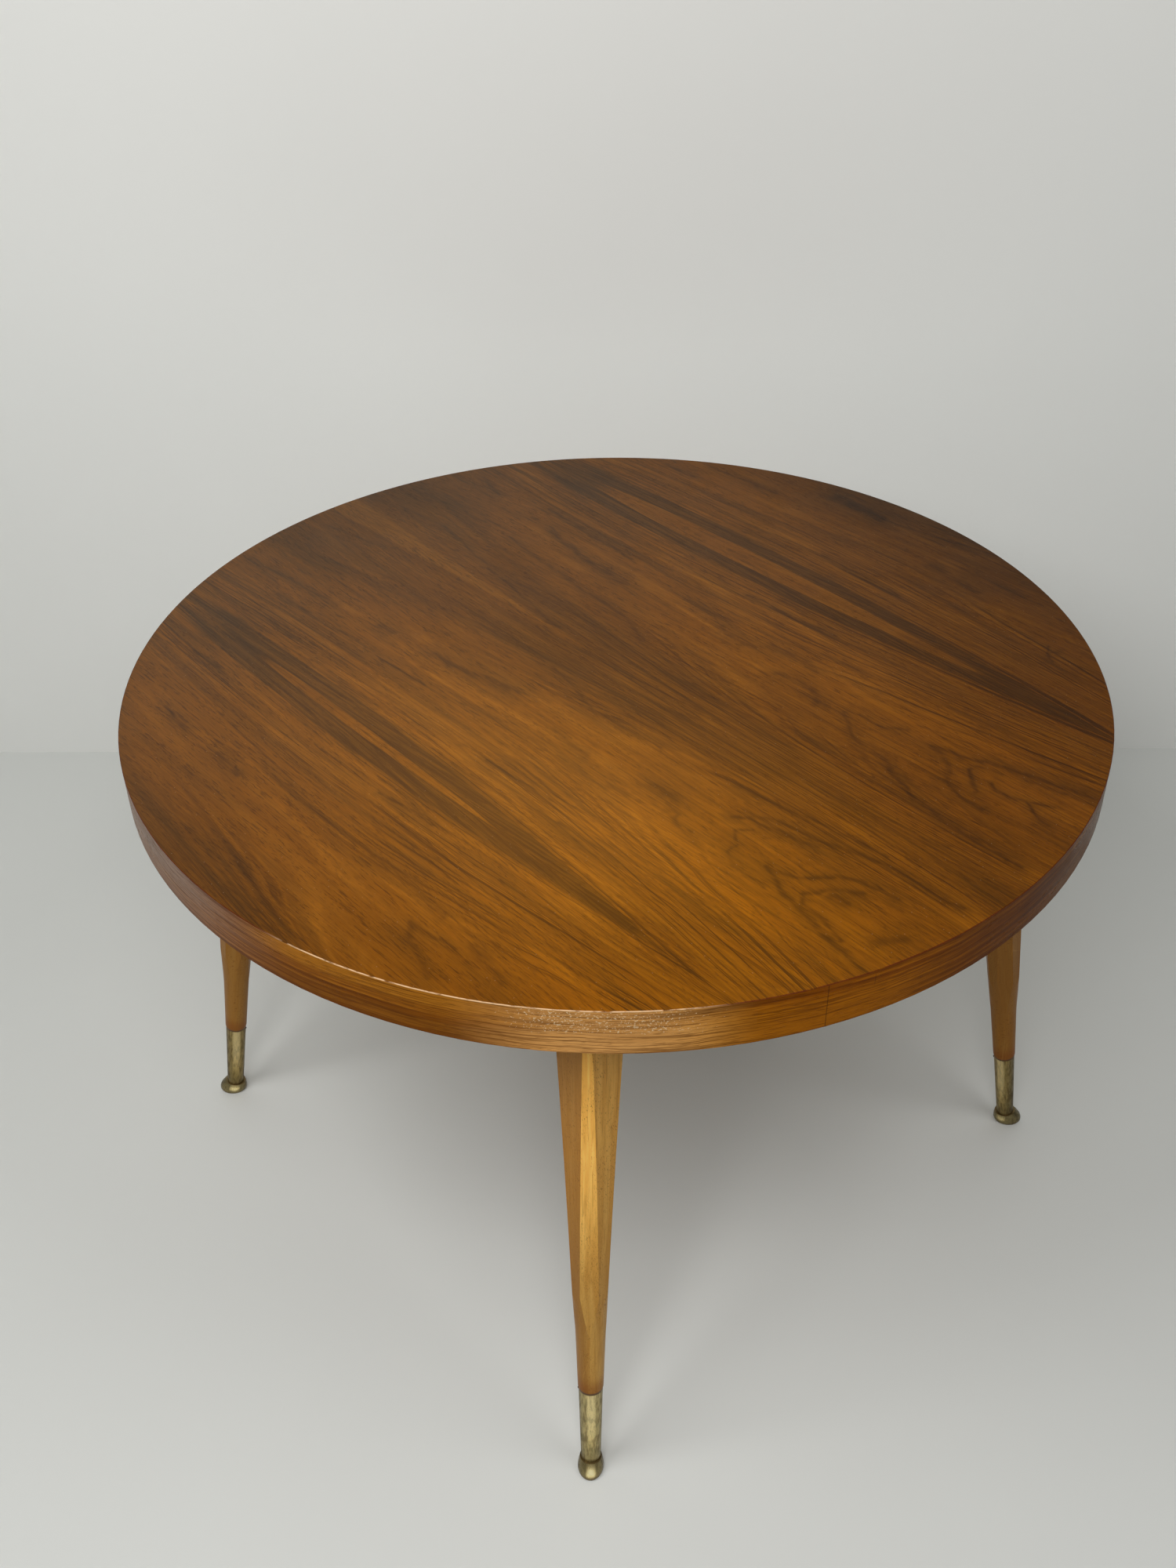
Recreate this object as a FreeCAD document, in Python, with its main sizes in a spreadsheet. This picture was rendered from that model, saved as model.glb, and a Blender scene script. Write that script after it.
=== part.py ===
import FreeCAD, Part
import os
import Sketcher
from FreeCAD import Placement, Rotation, Vector

# A round table of the middle of the last century: a veneered disc with a deep edge, on four splayed
# legs that start square, turn eight-sided, then round, and end in brass.
# The origin is on the floor under the middle of the top. Z is up, and the face grain runs along X.

# Driving sizes: millimetres, degrees and counts
SIZES = {
    # Round top
    "top_diameter": 850.0,
    "table_height": 562.0,
    "edge_height": 40.0,
    "core_board_thickness": 20.0,
    "face_veneer_thickness": 0.6,
    "edge_veneer_thickness": 0.6,
    "backing_veneer_thickness": 0.6,
    "arris_width": 0.4,
    "leaf_width": 224.0,
    "seam_offset": 4.0,
    "ring_width": 48.0,
    "ring_pieces": 8,
    "edge_joint_bearing": -22.0,
    # Legs, with heights counted along the leg's own axis from the floor
    "leg_clearance": 7.4,
    "splay": 8.65,
    "leg_width_top": 45.0,
    "leg_width_low": 26.9,
    "chamfer_width_top": 59.8,
    "chamfer_width_middle": 41.5,
    "chamfer_width_low": 25.8,
    "chamfer_middle_height": 370.0,
    "chamfer_low_height": 166.0,
    "turned_diameter_low": 22.0,
    "turned_diameter_waist": 25.5,
    "turned_diameter_blend": 29.0,
    "turned_diameter_facets": 33.6,
    "turned_diameter_top": 66.0,
    "waist_height": 165.0,
    "blend_height": 192.0,
    "facet_height": 218.0,
    "shoulder_height": 3.0,
    # Brass ends
    "ferrule_top_height": 98.0,
    "ferrule_low_height": 13.0,
    "ferrule_diameter_top": 20.8,
    "ferrule_diameter_low": 17.2,
    "ferrule_bore_diameter": 15.6,
    "ferrule_lip_width": 0.3,
    "foot_length": 28.5,
    "foot_width": 22.7,
    "foot_height": 16.5,
    "foot_lead_length": 1.9,
    # Frame under the top
    "rail_thickness": 22.0,
    "rail_depth": 45.0,
    "block_length": 70.0,
    "block_end_length": 12.0,
    "block_height": 30.0,
    "tenon_length": 12.0,
    "tenon_thickness": 8.0,
    "tenon_depth": 33.0,
    # Screws and nails
    "top_screw_length": 44.0,
    "top_screw_diameter": 4.5,
    "top_screw_head_diameter": 9.0,
    "top_screw_spacing": 52.0,
    "top_screw_setback": 16.0,
    "leg_screw_length": 74.0,
    "leg_screw_diameter": 5.0,
    "leg_screw_head_diameter": 10.0,
    "foot_screw_length": 34.0,
    "foot_screw_diameter": 4.0,
    "foot_screw_head_diameter": 8.0,
    "foot_screw_depth": 1.2,
    "slot_width": 1.2,
    "slot_depth": 1.0,
    "nail_diameter": 1.3,
    "nail_head_diameter": 2.2,
    "nail_crown_diameter": 1.2,
    "nail_head_height": 0.7,
    "nail_length": 8.0,
    "nail_depth": 2.0,
    # Clearances, the glue line behind the edge veneer, and the overrun of every cut
    "fit_clearance": 0.1,
    "glue_line_thickness": 0.5,
    "overrun_length": 5.0,
}

# The foot's oval sections from the floor up: shares of its height, length, width and lead
FOOT_SECTION_SHARES = [
    (0.00, 0.93, 0.92, 1.00),
    (0.20, 1.00, 1.00, 1.15),
    (0.48, 0.94, 0.95, 0.95),
    (0.76, 0.78, 0.85, 0.50),
    (1.00, 0.62, 0.74, 0.00),
]

QUARTER_TURN = 90
EIGHTH_TURN = 45
FULL_TURN = 360
LEAVES = ("front", "middle_front", "middle_rear", "rear")
CORNERS = ("rear_right", "rear_left", "front_left", "front_right")
SIDES = ("front", "right", "rear", "left")
# Bearing of each ferrule's nail, counted from the side that faces out
NAIL_BEARINGS = {"rear_right": 180, "rear_left": 180, "front_left": 180, "front_right": -90}

doc = FreeCAD.newDocument("round_table")
sheet = doc.addObject("Spreadsheet::Sheet", "sizes")
for row, (alias, number) in enumerate(SIZES.items(), start=1):
    sheet.set(f"A{row}", alias.replace("_", " "))
    sheet.set(f"B{row}", str(number))
    sheet.setAlias(f"B{row}", alias)
doc.recompute()

# Levels, radii and lines that follow from the driving sizes
FACE_FLOOR = "(sizes.table_height - sizes.face_veneer_thickness)"
CORE_FLOOR = f"({FACE_FLOOR} - sizes.core_board_thickness)"
FRAME_TOP = f"({CORE_FLOOR} - sizes.backing_veneer_thickness)"
EDGE_FLOOR = "(sizes.table_height - sizes.edge_height)"
TOP_RADIUS = "(sizes.top_diameter / 2)"
EDGE_VENEER_INNER = f"({TOP_RADIUS} - sizes.edge_veneer_thickness)"
CORE_RADIUS = f"({EDGE_VENEER_INNER} - sizes.glue_line_thickness)"
RING_INNER = f"({CORE_RADIUS} - sizes.ring_width)"
# A leg's outer facet clears the ring at the top, and its axis leans out from there to the floor
LEG_REACH_TOP = f"({RING_INNER} - sizes.leg_clearance - sizes.chamfer_width_top / 2 / cos(sizes.splay))"
LEG_REACH = f"({LEG_REACH_TOP} + {FRAME_TOP} * tan(sizes.splay))"
RAIL_MIDDLE = f"({FRAME_TOP} - sizes.rail_depth / 2)"
RAIL_LINE = f"(({LEG_REACH} - {RAIL_MIDDLE} * tan(sizes.splay)) / sqrt(2))"
RAIL_INNER = f"({RAIL_LINE} - sizes.rail_thickness / 2)"
LEG_TOP = f"({FRAME_TOP} / cos(sizes.splay))"
LEG_STOCK_TOP = f"({LEG_TOP} + sizes.leg_width_top * tan(sizes.splay))"
LEG_END = "(sizes.ferrule_low_height + sizes.fit_clearance)"
LEG_END_RADIUS = "(sizes.ferrule_bore_diameter / 2 - sizes.fit_clearance)"
CLEAR_RADIUS = "(sizes.turned_diameter_top / 2 + sizes.overrun_length)"
# Where a rail's shoulder and the end of its tenon lie, measured from the middle of the rail
LEG_FACE = f"({RAIL_LINE} - sizes.leg_width_top / 2)"
RAIL_END = f"({LEG_FACE} + sizes.tenon_length)"
# Distance of the corner block's slanting face from the table's axis
BLOCK_FACE = f"({RAIL_INNER} * sqrt(2) - (sizes.block_length + sizes.block_end_length) / sqrt(2))"

parts = {}


def value(expression):
    """The number that an expression gives with the sizes as they stand."""
    return float(sheet.evalExpression(expression))


def bind(thing, **formulas):
    """Ties properties of an object to expressions."""
    for name, formula in formulas.items():
        thing.setExpression(name, formula)
    return thing


def place(across="0", along="0", level="0", axis=(0, 0, 1), angle="0"):
    """Text of a placement: a point, and a turn about an axis through it."""
    around = f"vector({axis[0]}; {axis[1]}; {axis[2]})"
    return f"placement(vector({across}; {along}; {level}); rotation({around}; {angle}))"


def turned(angle, inner):
    """Text of a placement that is turned about the table's axis."""
    return f"{place(angle=angle)} * {inner}"


def new(kind, name):
    return doc.addObject(kind, name)


def keep(label, thing):
    """Names an object as one finished piece of the table."""
    thing.Label = label
    parts[label] = thing
    return thing


def cut(name, base, *tools):
    """A piece less its tools, taken away one after another."""
    for count, tool in enumerate(tools, start=1):
        rest = new("Part::Cut", f"{name}_less_{count}")
        rest.Base = base
        rest.Tool = tool
        base = rest
    return base


def origin_plane(body, role):
    return next(feature for feature in body.Origin.OriginFeatures if feature.Role == role)


def outline(body, name, role, corners, arcs=None, level=None, turn=None):
    """A closed sketch through corners that are pairs of expressions.

    arcs gives, by the number of the corner where it starts, a point that the curve passes through.
    level lifts the sketch off its plane, and turn swings its plane about the upright axis.
    """
    arcs = arcs or {}
    sketch = body.newObject("Sketcher::SketchObject", name)
    sketch.AttachmentSupport = (origin_plane(body, role), [""])
    sketch.MapMode = "FlatFace"
    if turn is not None:
        sketch.AttachmentOffset = Placement(Vector(0, 0, 0), Rotation(Vector(0, 1, 0), turn))
    if level is not None:
        sketch.setExpression("AttachmentOffset.Base.z", level)
    points = [Vector(value(x), value(y), 0) for x, y in corners]
    for number, start in enumerate(points):
        end = points[(number + 1) % len(points)]
        if number in arcs:
            middle = Vector(value(arcs[number][0]), value(arcs[number][1]), 0)
            curve = Part.Arc(start, middle, end)
            sketch.addGeometry(curve, False)
        else:
            sketch.addGeometry(Part.LineSegment(start, end), False)
    # An arc may run the other way round than its corners, so each curve's ends are found by place
    ends = []
    for number, start in enumerate(points):
        to_first = sketch.getPoint(number, 1).distanceToPoint(start)
        to_last = sketch.getPoint(number, 2).distanceToPoint(start)
        ends.append((1, 2) if to_first < to_last else (2, 1))
    for number in range(len(points)):
        following = (number + 1) % len(points)
        sketch.addConstraint(
            Sketcher.Constraint("Coincident", number, ends[number][1], following, ends[following][0])
        )
    for number, (x, y) in enumerate(corners):
        fix_point(sketch, number, ends[number][0], x, y)
    for number, (x, y) in arcs.items():
        through = sketch.addGeometry(Part.Point(Vector(value(x), value(y), 0)), True)
        fix_point(sketch, through, 1, x, y)
        sketch.addConstraint(Sketcher.Constraint("PointOnObject", through, 1, number))
    return sketch


def fix_point(sketch, curve, end, x, y):
    """Holds one point of a sketch at two expressions, measured from the sketch's origin."""
    for kind, axis, formula in (("DistanceX", -2, x), ("DistanceY", -1, y)):
        if formula == "0":
            sketch.addConstraint(Sketcher.Constraint("PointOnObject", curve, end, axis))
            continue
        number = sketch.addConstraint(
            Sketcher.Constraint(kind, -1, 1, curve, end, value(formula))
        )
        sketch.setExpression(f"Constraints[{number}]", formula)


def revolve(body, sketch, kind="PartDesign::Revolution", angle=None):
    """Turns a sketch about the body's upright axis."""
    turning = body.newObject(kind, "turning")
    turning.Profile = sketch
    turning.ReferenceAxis = (origin_plane(body, "Z_Axis"), [""])
    if angle is not None:
        turning.setExpression("Angle", angle)
    return turning


def saw(body, sketch, width):
    """Cuts a sketch's outline through the body, the same way to both sides of its plane."""
    pocket = body.newObject("PartDesign::Pocket", "saw_cut")
    pocket.Profile = sketch
    pocket.SideType = "Symmetric"
    pocket.setExpression("Length", width)
    return pocket


def four_times(body, feature):
    """Repeats a cut on the four sides of a leg."""
    pattern = body.newObject("PartDesign::PolarPattern", "four_sides")
    pattern.Originals = [feature]
    pattern.Axis = (origin_plane(body, "Z_Axis"), [""])
    pattern.Angle = FULL_TURN
    pattern.Occurrences = len(CORNERS)
    body.Tip = pattern
    return pattern


def group(name, template, places):
    """Identical pieces made from one template, as separate solids of one node."""
    copies = []
    for formula in places:
        copy = new("App::Link", f"{name}_copy")
        copy.LinkedObject = template
        copy.setExpression("Placement", formula)
        copies.append(copy)
    together = new("Part::Compound", name)
    together.Links = copies
    return together


# Round top


def make_disc(name, radius, height, level):
    disc = new("Part::Cylinder", name)
    bind(disc, Radius=radius, Height=height)
    disc.setExpression("Placement", place(level=level))
    return disc


def make_face_leaves():
    """Four leaves of face veneer laid edge to edge, with the rim's arris eased."""
    sheet_of_veneer = make_disc("face_sheet", TOP_RADIUS, "sizes.face_veneer_thickness", FACE_FLOOR)
    doc.recompute()
    eased = new("Part::Chamfer", "face_sheet_eased")
    eased.Base = sheet_of_veneer
    rim = [
        number
        for number, edge in enumerate(sheet_of_veneer.Shape.Edges, start=1)
        if edge.BoundBox.ZMin > value(f"{FACE_FLOOR} + sizes.face_veneer_thickness / 2")
    ]
    arris = value("sizes.arris_width")
    eased.Edges = [(number, arris, arris) for number in rim]
    outside = f"({TOP_RADIUS} + sizes.overrun_length)"
    seams = [f"(sizes.seam_offset + {step} * sizes.leaf_width)" for step in (-1, 0, 1)]
    limits = [f"(0 - {outside})"] + seams + [outside]
    for name, near, far in zip(LEAVES, limits[:-1], limits[1:]):
        strip = new("Part::Box", f"strip_{name}")
        bind(
            strip,
            Length=f"2 * {outside}",
            Width=f"{far} - {near}",
            Height="sizes.face_veneer_thickness + 2 * sizes.overrun_length",
        )
        strip.setExpression(
            "Placement",
            place(f"0 - {outside}", near, f"{FACE_FLOOR} - sizes.overrun_length"),
        )
        leaf = new("Part::Common", f"leaf_{name}")
        leaf.Base = eased
        leaf.Tool = strip
        keep(f"veneer_leaf_{name}", leaf)


def make_hoop_piece(label, inner, outer, low, high, start, sweep):
    """A piece of a ring: an upright oblong carried part of the way round the table's axis."""
    body = new("PartDesign::Body", label)
    corners = [(inner, low), (outer, low), (outer, high), (inner, high)]
    section = outline(body, "section", "XZ_Plane", corners)
    revolve(body, section, angle=sweep)
    body.setExpression("Placement", place(angle=start))
    return keep(label, body)


def make_edge():
    """The ring of blocks that doubles the edge, and the veneer that runs round it in two strips."""
    count = int(value("sizes.ring_pieces"))
    for number in range(count):
        make_hoop_piece(
            f"edge_block_{number + 1}",
            RING_INNER,
            CORE_RADIUS,
            EDGE_FLOOR,
            FRAME_TOP,
            f"({number} * {FULL_TURN} / sizes.ring_pieces)",
            f"({FULL_TURN} / sizes.ring_pieces)",
        )
    for number, name in enumerate(("rear", "front")):
        make_hoop_piece(
            f"edge_veneer_{name}",
            EDGE_VENEER_INNER,
            TOP_RADIUS,
            EDGE_FLOOR,
            FACE_FLOOR,
            f"(sizes.edge_joint_bearing + {number} * {FULL_TURN} / 2)",
            f"({FULL_TURN} / 2)",
        )


# Legs


def leg_place(number):
    """Stands a leg's own upright axis on the floor at its corner, leaning in towards the top."""
    lean = place(LEG_REACH, axis=(0, 1, 0), angle="0 - sizes.splay")
    return turned(EIGHTH_TURN + QUARTER_TURN * number, lean)


def make_leg_blank(corner, number):
    """One leg before its mortises and holes: sawn square and tapering, chamfered and turned."""
    body = new("PartDesign::Body", f"leg_blank_{corner}")
    corner_out = "(sizes.leg_width_top / sqrt(2))"
    stock = outline(
        body,
        "stock_section",
        "XY_Plane",
        [(corner_out, "0"), ("0", corner_out), (f"0 - {corner_out}", "0"), ("0", f"0 - {corner_out}")],
        level=LEG_END,
    )
    blank = body.newObject("PartDesign::Pad", "stock")
    blank.Profile = stock
    blank.setExpression("Length", f"{LEG_STOCK_TOP} - {LEG_END}")

    width = f"2 * {CLEAR_RADIUS}"
    tapers = outline(
        body,
        "taper_outline",
        "XZ_Plane",
        [
            ("sizes.leg_width_low / 2", "sizes.ferrule_top_height"),
            (CLEAR_RADIUS, "sizes.ferrule_top_height"),
            (CLEAR_RADIUS, LEG_STOCK_TOP),
            ("sizes.leg_width_top / 2", LEG_STOCK_TOP),
        ],
        turn=EIGHTH_TURN,
    )
    four_times(body, saw(body, tapers, width))

    chamfers = outline(
        body,
        "chamfer_outline",
        "XZ_Plane",
        [
            ("sizes.chamfer_width_top / 2", LEG_STOCK_TOP),
            ("sizes.chamfer_width_low / 2", "sizes.chamfer_low_height"),
            (CLEAR_RADIUS, "sizes.chamfer_low_height"),
            (CLEAR_RADIUS, LEG_STOCK_TOP),
        ],
        arcs={0: ("sizes.chamfer_width_middle / 2", "sizes.chamfer_middle_height")},
    )
    four_times(body, saw(body, chamfers, width))

    shoulder_in = "(sizes.ferrule_diameter_top / 2)"
    turning = outline(
        body,
        "turned_outline",
        "XZ_Plane",
        [
            (LEG_END_RADIUS, LEG_END),
            (LEG_END_RADIUS, "sizes.ferrule_top_height"),
            (shoulder_in, "sizes.ferrule_top_height"),
            ("sizes.turned_diameter_low / 2", "sizes.ferrule_top_height + sizes.shoulder_height"),
            ("sizes.turned_diameter_waist / 2", "sizes.waist_height"),
            ("sizes.turned_diameter_facets / 2", "sizes.facet_height"),
            ("sizes.turned_diameter_top / 2", LEG_STOCK_TOP),
            (CLEAR_RADIUS, LEG_STOCK_TOP),
            (CLEAR_RADIUS, LEG_END),
        ],
        arcs={4: ("sizes.turned_diameter_blend / 2", "sizes.blend_height")},
    )
    body.Tip = revolve(body, turning, kind="PartDesign::Groove")

    drop = f"{CLEAR_RADIUS} * tan(sizes.splay)"
    above = f"({LEG_STOCK_TOP} + {CLEAR_RADIUS})"
    level_end = outline(
        body,
        "level_end",
        "XZ_Plane",
        [
            (f"0 - {CLEAR_RADIUS}", f"{LEG_TOP} + {drop}"),
            (CLEAR_RADIUS, f"{LEG_TOP} - {drop}"),
            (CLEAR_RADIUS, above),
            (f"0 - {CLEAR_RADIUS}", above),
        ],
    )
    saw(body, level_end, width)
    body.setExpression("Placement", leg_place(number))
    return body


# Screws and nails


def make_screw(name, size):
    """A countersunk wood screw along Z, its head's flat face at the origin."""
    shank = f"(sizes.{size}_diameter / 2)"
    head = f"(sizes.{size}_head_diameter / 2)"
    end = f"sizes.{size}_length"
    body = new("PartDesign::Body", name)
    half_section = outline(
        body,
        "half_section",
        "XZ_Plane",
        [("0", "0"), (head, "0"), (shank, f"{head} - {shank}"), (shank, end), ("0", end)],
    )
    revolve(body, half_section)
    half = "(sizes.slot_width / 2)"
    slot = outline(
        body,
        "slot_outline",
        "XZ_Plane",
        [
            (f"0 - {half}", "0"),
            (half, "0"),
            (half, "sizes.slot_depth"),
            (f"0 - {half}", "sizes.slot_depth"),
        ],
    )
    saw(body, slot, f"sizes.{size}_head_diameter + sizes.overrun_length")
    return body


def make_screw_hole(name, size):
    """The countersunk and drilled hole that a screw lies in, open past its head."""
    shank = f"(sizes.{size}_diameter / 2 + sizes.fit_clearance)"
    head = f"(sizes.{size}_head_diameter / 2 + sizes.fit_clearance)"
    end = f"(sizes.{size}_length + sizes.fit_clearance)"
    body = new("PartDesign::Body", name)
    half_section = outline(
        body,
        "half_section",
        "XZ_Plane",
        [
            ("0", "0 - sizes.overrun_length"),
            (head, "0 - sizes.overrun_length"),
            (head, "0"),
            (shank, f"{head} - {shank}"),
            (shank, end),
            ("0", end),
        ],
    )
    revolve(body, half_section)
    return body


def make_nail(name):
    """A small nail along Z with a bevelled head, the underside of the head at the origin."""
    shank = "(sizes.nail_diameter / 2)"
    head = "(sizes.nail_head_diameter / 2)"
    top = "0 - sizes.nail_head_height"
    body = new("PartDesign::Body", name)
    half_section = outline(
        body,
        "half_section",
        "XZ_Plane",
        [
            ("0", top),
            ("sizes.nail_crown_diameter / 2", top),
            (head, "0"),
            (shank, "0"),
            (shank, "sizes.nail_length"),
            ("0", "sizes.nail_length"),
        ],
    )
    revolve(body, half_section)
    return body


def make_nail_hole(name):
    """The plain hole of a nail, open past its head."""
    hole = new("Part::Cylinder", name)
    bind(
        hole,
        Radius="sizes.nail_diameter / 2 + sizes.fit_clearance",
        Height="sizes.nail_length + sizes.fit_clearance + sizes.overrun_length",
    )
    hole.setExpression("Placement", place(level="0 - sizes.overrun_length"))
    return hole


def top_screw_places():
    """Two upright screws in each corner block, beside the long screw that goes into the leg."""
    places = []
    for number in range(len(CORNERS)):
        for side in (-1, 1):
            upright = place(
                f"{BLOCK_FACE} + sizes.top_screw_setback",
                f"{side} * sizes.top_screw_spacing / 2",
                f"{FRAME_TOP} - sizes.block_height",
            )
            places.append(turned(EIGHTH_TURN + QUARTER_TURN * number, upright))
    return places


def leg_screw_places():
    """One level screw in each corner, from the block's slanting face out into the leg."""
    outward = place(BLOCK_FACE, "0", RAIL_MIDDLE, (0, 1, 0), QUARTER_TURN)
    return [turned(EIGHTH_TURN + QUARTER_TURN * number, outward) for number in range(len(CORNERS))]


def foot_screw_places():
    """One screw up the axis of each leg, its head sunk in the foot."""
    upward = place(level="sizes.foot_screw_depth")
    return [f"{leg_place(number)} * {upward}" for number in range(len(CORNERS))]


def nail_places():
    """One nail near the top of each ferrule, square to the leg's axis."""
    level = "(sizes.ferrule_top_height - sizes.nail_depth)"
    inward = place("sizes.ferrule_diameter_top / 2", "0", level, (0, 1, 0), f"0 - {QUARTER_TURN}")
    places = []
    for number, corner in enumerate(CORNERS):
        places.append(f"{leg_place(number)} * {place(angle=NAIL_BEARINGS[corner])} * {inward}")
    return places


# Brass ends


def make_ferrule(corner, number, nail_holes):
    """A tapering sleeve with a straight bore and a softened upper lip."""
    body = new("PartDesign::Body", f"sleeve_{corner}")
    bore = "(sizes.ferrule_bore_diameter / 2)"
    outer_top = "(sizes.ferrule_diameter_top / 2)"
    outer_low = "(sizes.ferrule_diameter_low / 2)"
    section = outline(
        body,
        "wall_section",
        "XZ_Plane",
        [
            (bore, "sizes.ferrule_low_height"),
            (outer_low, "sizes.ferrule_low_height"),
            (outer_top, "sizes.ferrule_top_height - sizes.ferrule_lip_width"),
            (f"{outer_top} - sizes.ferrule_lip_width", "sizes.ferrule_top_height"),
            (bore, "sizes.ferrule_top_height"),
        ],
    )
    revolve(body, section)
    body.setExpression("Placement", leg_place(number))
    keep(f"ferrule_{corner}", cut(f"ferrule_{corner}", body, nail_holes))


def make_foot(corner, number, screw_holes):
    """A low oval dome that stands flat on the floor, cut square to the leg where the ferrule lands."""
    sections = []
    for height_share, length_share, width_share, lead_share in FOOT_SECTION_SHARES:
        oval = new("Part::Ellipse", f"foot_oval_{corner}")
        bind(
            oval,
            MajorRadius=f"sizes.foot_length * {length_share} / 2",
            MinorRadius=f"sizes.foot_width * {width_share} / 2",
        )
        height = f"{height_share} * sizes.foot_height"
        axis_here = f"{LEG_REACH} - {height} * tan(sizes.splay)"
        spot = place(f"{axis_here} + {lead_share} * sizes.foot_lead_length", level=height)
        oval.setExpression("Placement", turned(EIGHTH_TURN + QUARTER_TURN * number, spot))
        sections.append(oval)
    dome = new("Part::Loft", f"foot_dome_{corner}")
    dome.Sections = sections
    dome.Solid = True
    above = new("Part::Box", f"foot_trim_{corner}")
    bind(
        above,
        Length="2 * sizes.foot_length",
        Width="2 * sizes.foot_length",
        Height="sizes.foot_height + sizes.overrun_length",
    )
    seat = place("0 - sizes.foot_length", "0 - sizes.foot_length", "sizes.ferrule_low_height")
    above.setExpression("Placement", f"{leg_place(number)} * {seat}")
    keep(f"foot_{corner}", cut(f"foot_{corner}", dome, above, screw_holes))


# Frame


def make_tenon_bar(name, number, gap="0"):
    """A bar along a rail whose two ends are its tenons, or with a gap the mortises that they lie in."""
    bar = new("Part::Box", name)
    bind(
        bar,
        Length=f"2 * ({RAIL_END} + {gap})",
        Width=f"sizes.tenon_thickness + 2 * {gap}",
        Height=f"sizes.tenon_depth + 2 * {gap}",
    )
    lying = place(
        f"0 - {RAIL_END} - {gap}",
        f"0 - {RAIL_LINE} - sizes.tenon_thickness / 2 - {gap}",
        f"{RAIL_MIDDLE} - sizes.tenon_depth / 2 - {gap}",
    )
    bar.setExpression("Placement", turned(QUARTER_TURN * number, lying))
    return bar


def make_rail(side, number, legs):
    """A rail whose shoulders fit the faces of two leaning legs, with a stub tenon at each end."""
    blank = new("Part::Box", f"rail_blank_{side}")
    bind(
        blank,
        Length=f"2 * {RAIL_LINE}",
        Width="sizes.rail_thickness",
        Height="sizes.rail_depth",
    )
    lying = place(
        f"0 - {RAIL_LINE}",
        f"0 - {RAIL_LINE} - sizes.rail_thickness / 2",
        f"{FRAME_TOP} - sizes.rail_depth",
    )
    blank.setExpression("Placement", turned(QUARTER_TURN * number, lying))
    rail = new("Part::Fuse", f"rail_{side}_tenoned")
    rail.Base = cut(f"rail_{side}", blank, legs)
    rail.Tool = make_tenon_bar(f"tenons_{side}", number)
    keep(f"rail_{side}", rail)


def make_corner_block(corner, number, leg, screw_holes):
    """A block glued into the corner of the frame behind a leg."""
    body = new("PartDesign::Body", f"block_blank_{corner}")
    plan = outline(
        body,
        "block_plan",
        "XY_Plane",
        [
            ("0", "0"),
            ("sizes.block_length", "0"),
            ("sizes.block_length", "sizes.block_end_length"),
            ("sizes.block_end_length", "sizes.block_length"),
            ("0", "sizes.block_length"),
        ],
    )
    pad = body.newObject("PartDesign::Pad", "block")
    pad.Profile = plan
    pad.setExpression("Length", "sizes.block_height")
    inside = place(RAIL_INNER, RAIL_INNER, f"{FRAME_TOP} - sizes.block_height", angle=2 * QUARTER_TURN)
    body.setExpression("Placement", turned(QUARTER_TURN * number, inside))
    keep(f"corner_block_{corner}", cut(f"corner_block_{corner}", body, leg, *screw_holes))


def make_core(screw_holes):
    core = make_disc("core_disc", CORE_RADIUS, "sizes.core_board_thickness", CORE_FLOOR)
    keep("core_board", cut("core_board", core, screw_holes))
    backing = make_disc("backing_disc", CORE_RADIUS, "sizes.backing_veneer_thickness", FRAME_TOP)
    keep("backing_veneer", cut("backing_veneer", backing, screw_holes))


def build():
    holes = {}
    for size, places in (
        ("top_screw", top_screw_places()),
        ("leg_screw", leg_screw_places()),
        ("foot_screw", foot_screw_places()),
    ):
        keep(f"{size}s", group(f"{size}s", make_screw(f"{size}_pattern", size), places))
        holes[size] = group(f"{size}_holes", make_screw_hole(f"{size}_hole", size), places)
    nail_holes = group("nail_holes", make_nail_hole("nail_hole"), nail_places())
    keep("ferrule_nails", group("ferrule_nails", make_nail("nail"), nail_places()))

    make_face_leaves()
    make_core(holes["top_screw"])
    make_edge()

    bars = []
    for number, side in enumerate(SIDES):
        bars.append(make_tenon_bar(f"mortises_{side}", number, gap="sizes.fit_clearance"))
    mortises = new("Part::Compound", "mortises")
    mortises.Links = bars
    legs = []
    for number, corner in enumerate(CORNERS):
        blank = make_leg_blank(corner, number)
        legs.append(blank)
        hollows = (mortises, holes["leg_screw"], holes["foot_screw"], nail_holes)
        keep(f"leg_{corner}", cut(f"leg_{corner}", blank, *hollows))
        make_ferrule(corner, number, nail_holes)
        make_foot(corner, number, holes["foot_screw"])
        make_corner_block(corner, number, blank, (holes["top_screw"], holes["leg_screw"]))
    all_legs = new("Part::Compound", "all_legs")
    all_legs.Links = legs
    for number, side in enumerate(SIDES):
        make_rail(side, number, all_legs)


def check():
    """Stops with the names of whatever failed to build."""
    doc.recompute()
    failed = [thing.Name for thing in doc.Objects if {"Invalid", "Error"} & set(thing.State)]
    for label, thing in parts.items():
        shape = Part.getShape(thing)
        if shape.isNull() or not shape.isValid() or not shape.Solids:
            failed.append(label)
    if failed:
        raise RuntimeError("not built: " + ", ".join(failed))


def write():
    os.makedirs("parts", exist_ok=True)
    for label, thing in parts.items():
        shape = Part.getShape(thing)
        shape.exportStep(os.path.join("parts", f"{label}.step"))
        box = shape.optimalBoundingBox()
        print(
            f"{label}: {len(shape.Solids)} solids, {shape.Volume:.0f} mm3,"
            f" {box.XLength:.1f} x {box.YLength:.1f} x {box.ZLength:.1f} at {box.ZMin:.1f}"
        )


build()
check()
write()
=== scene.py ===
import math
from types import SimpleNamespace

import bmesh
import bpy
from mathutils import Matrix, Vector


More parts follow.
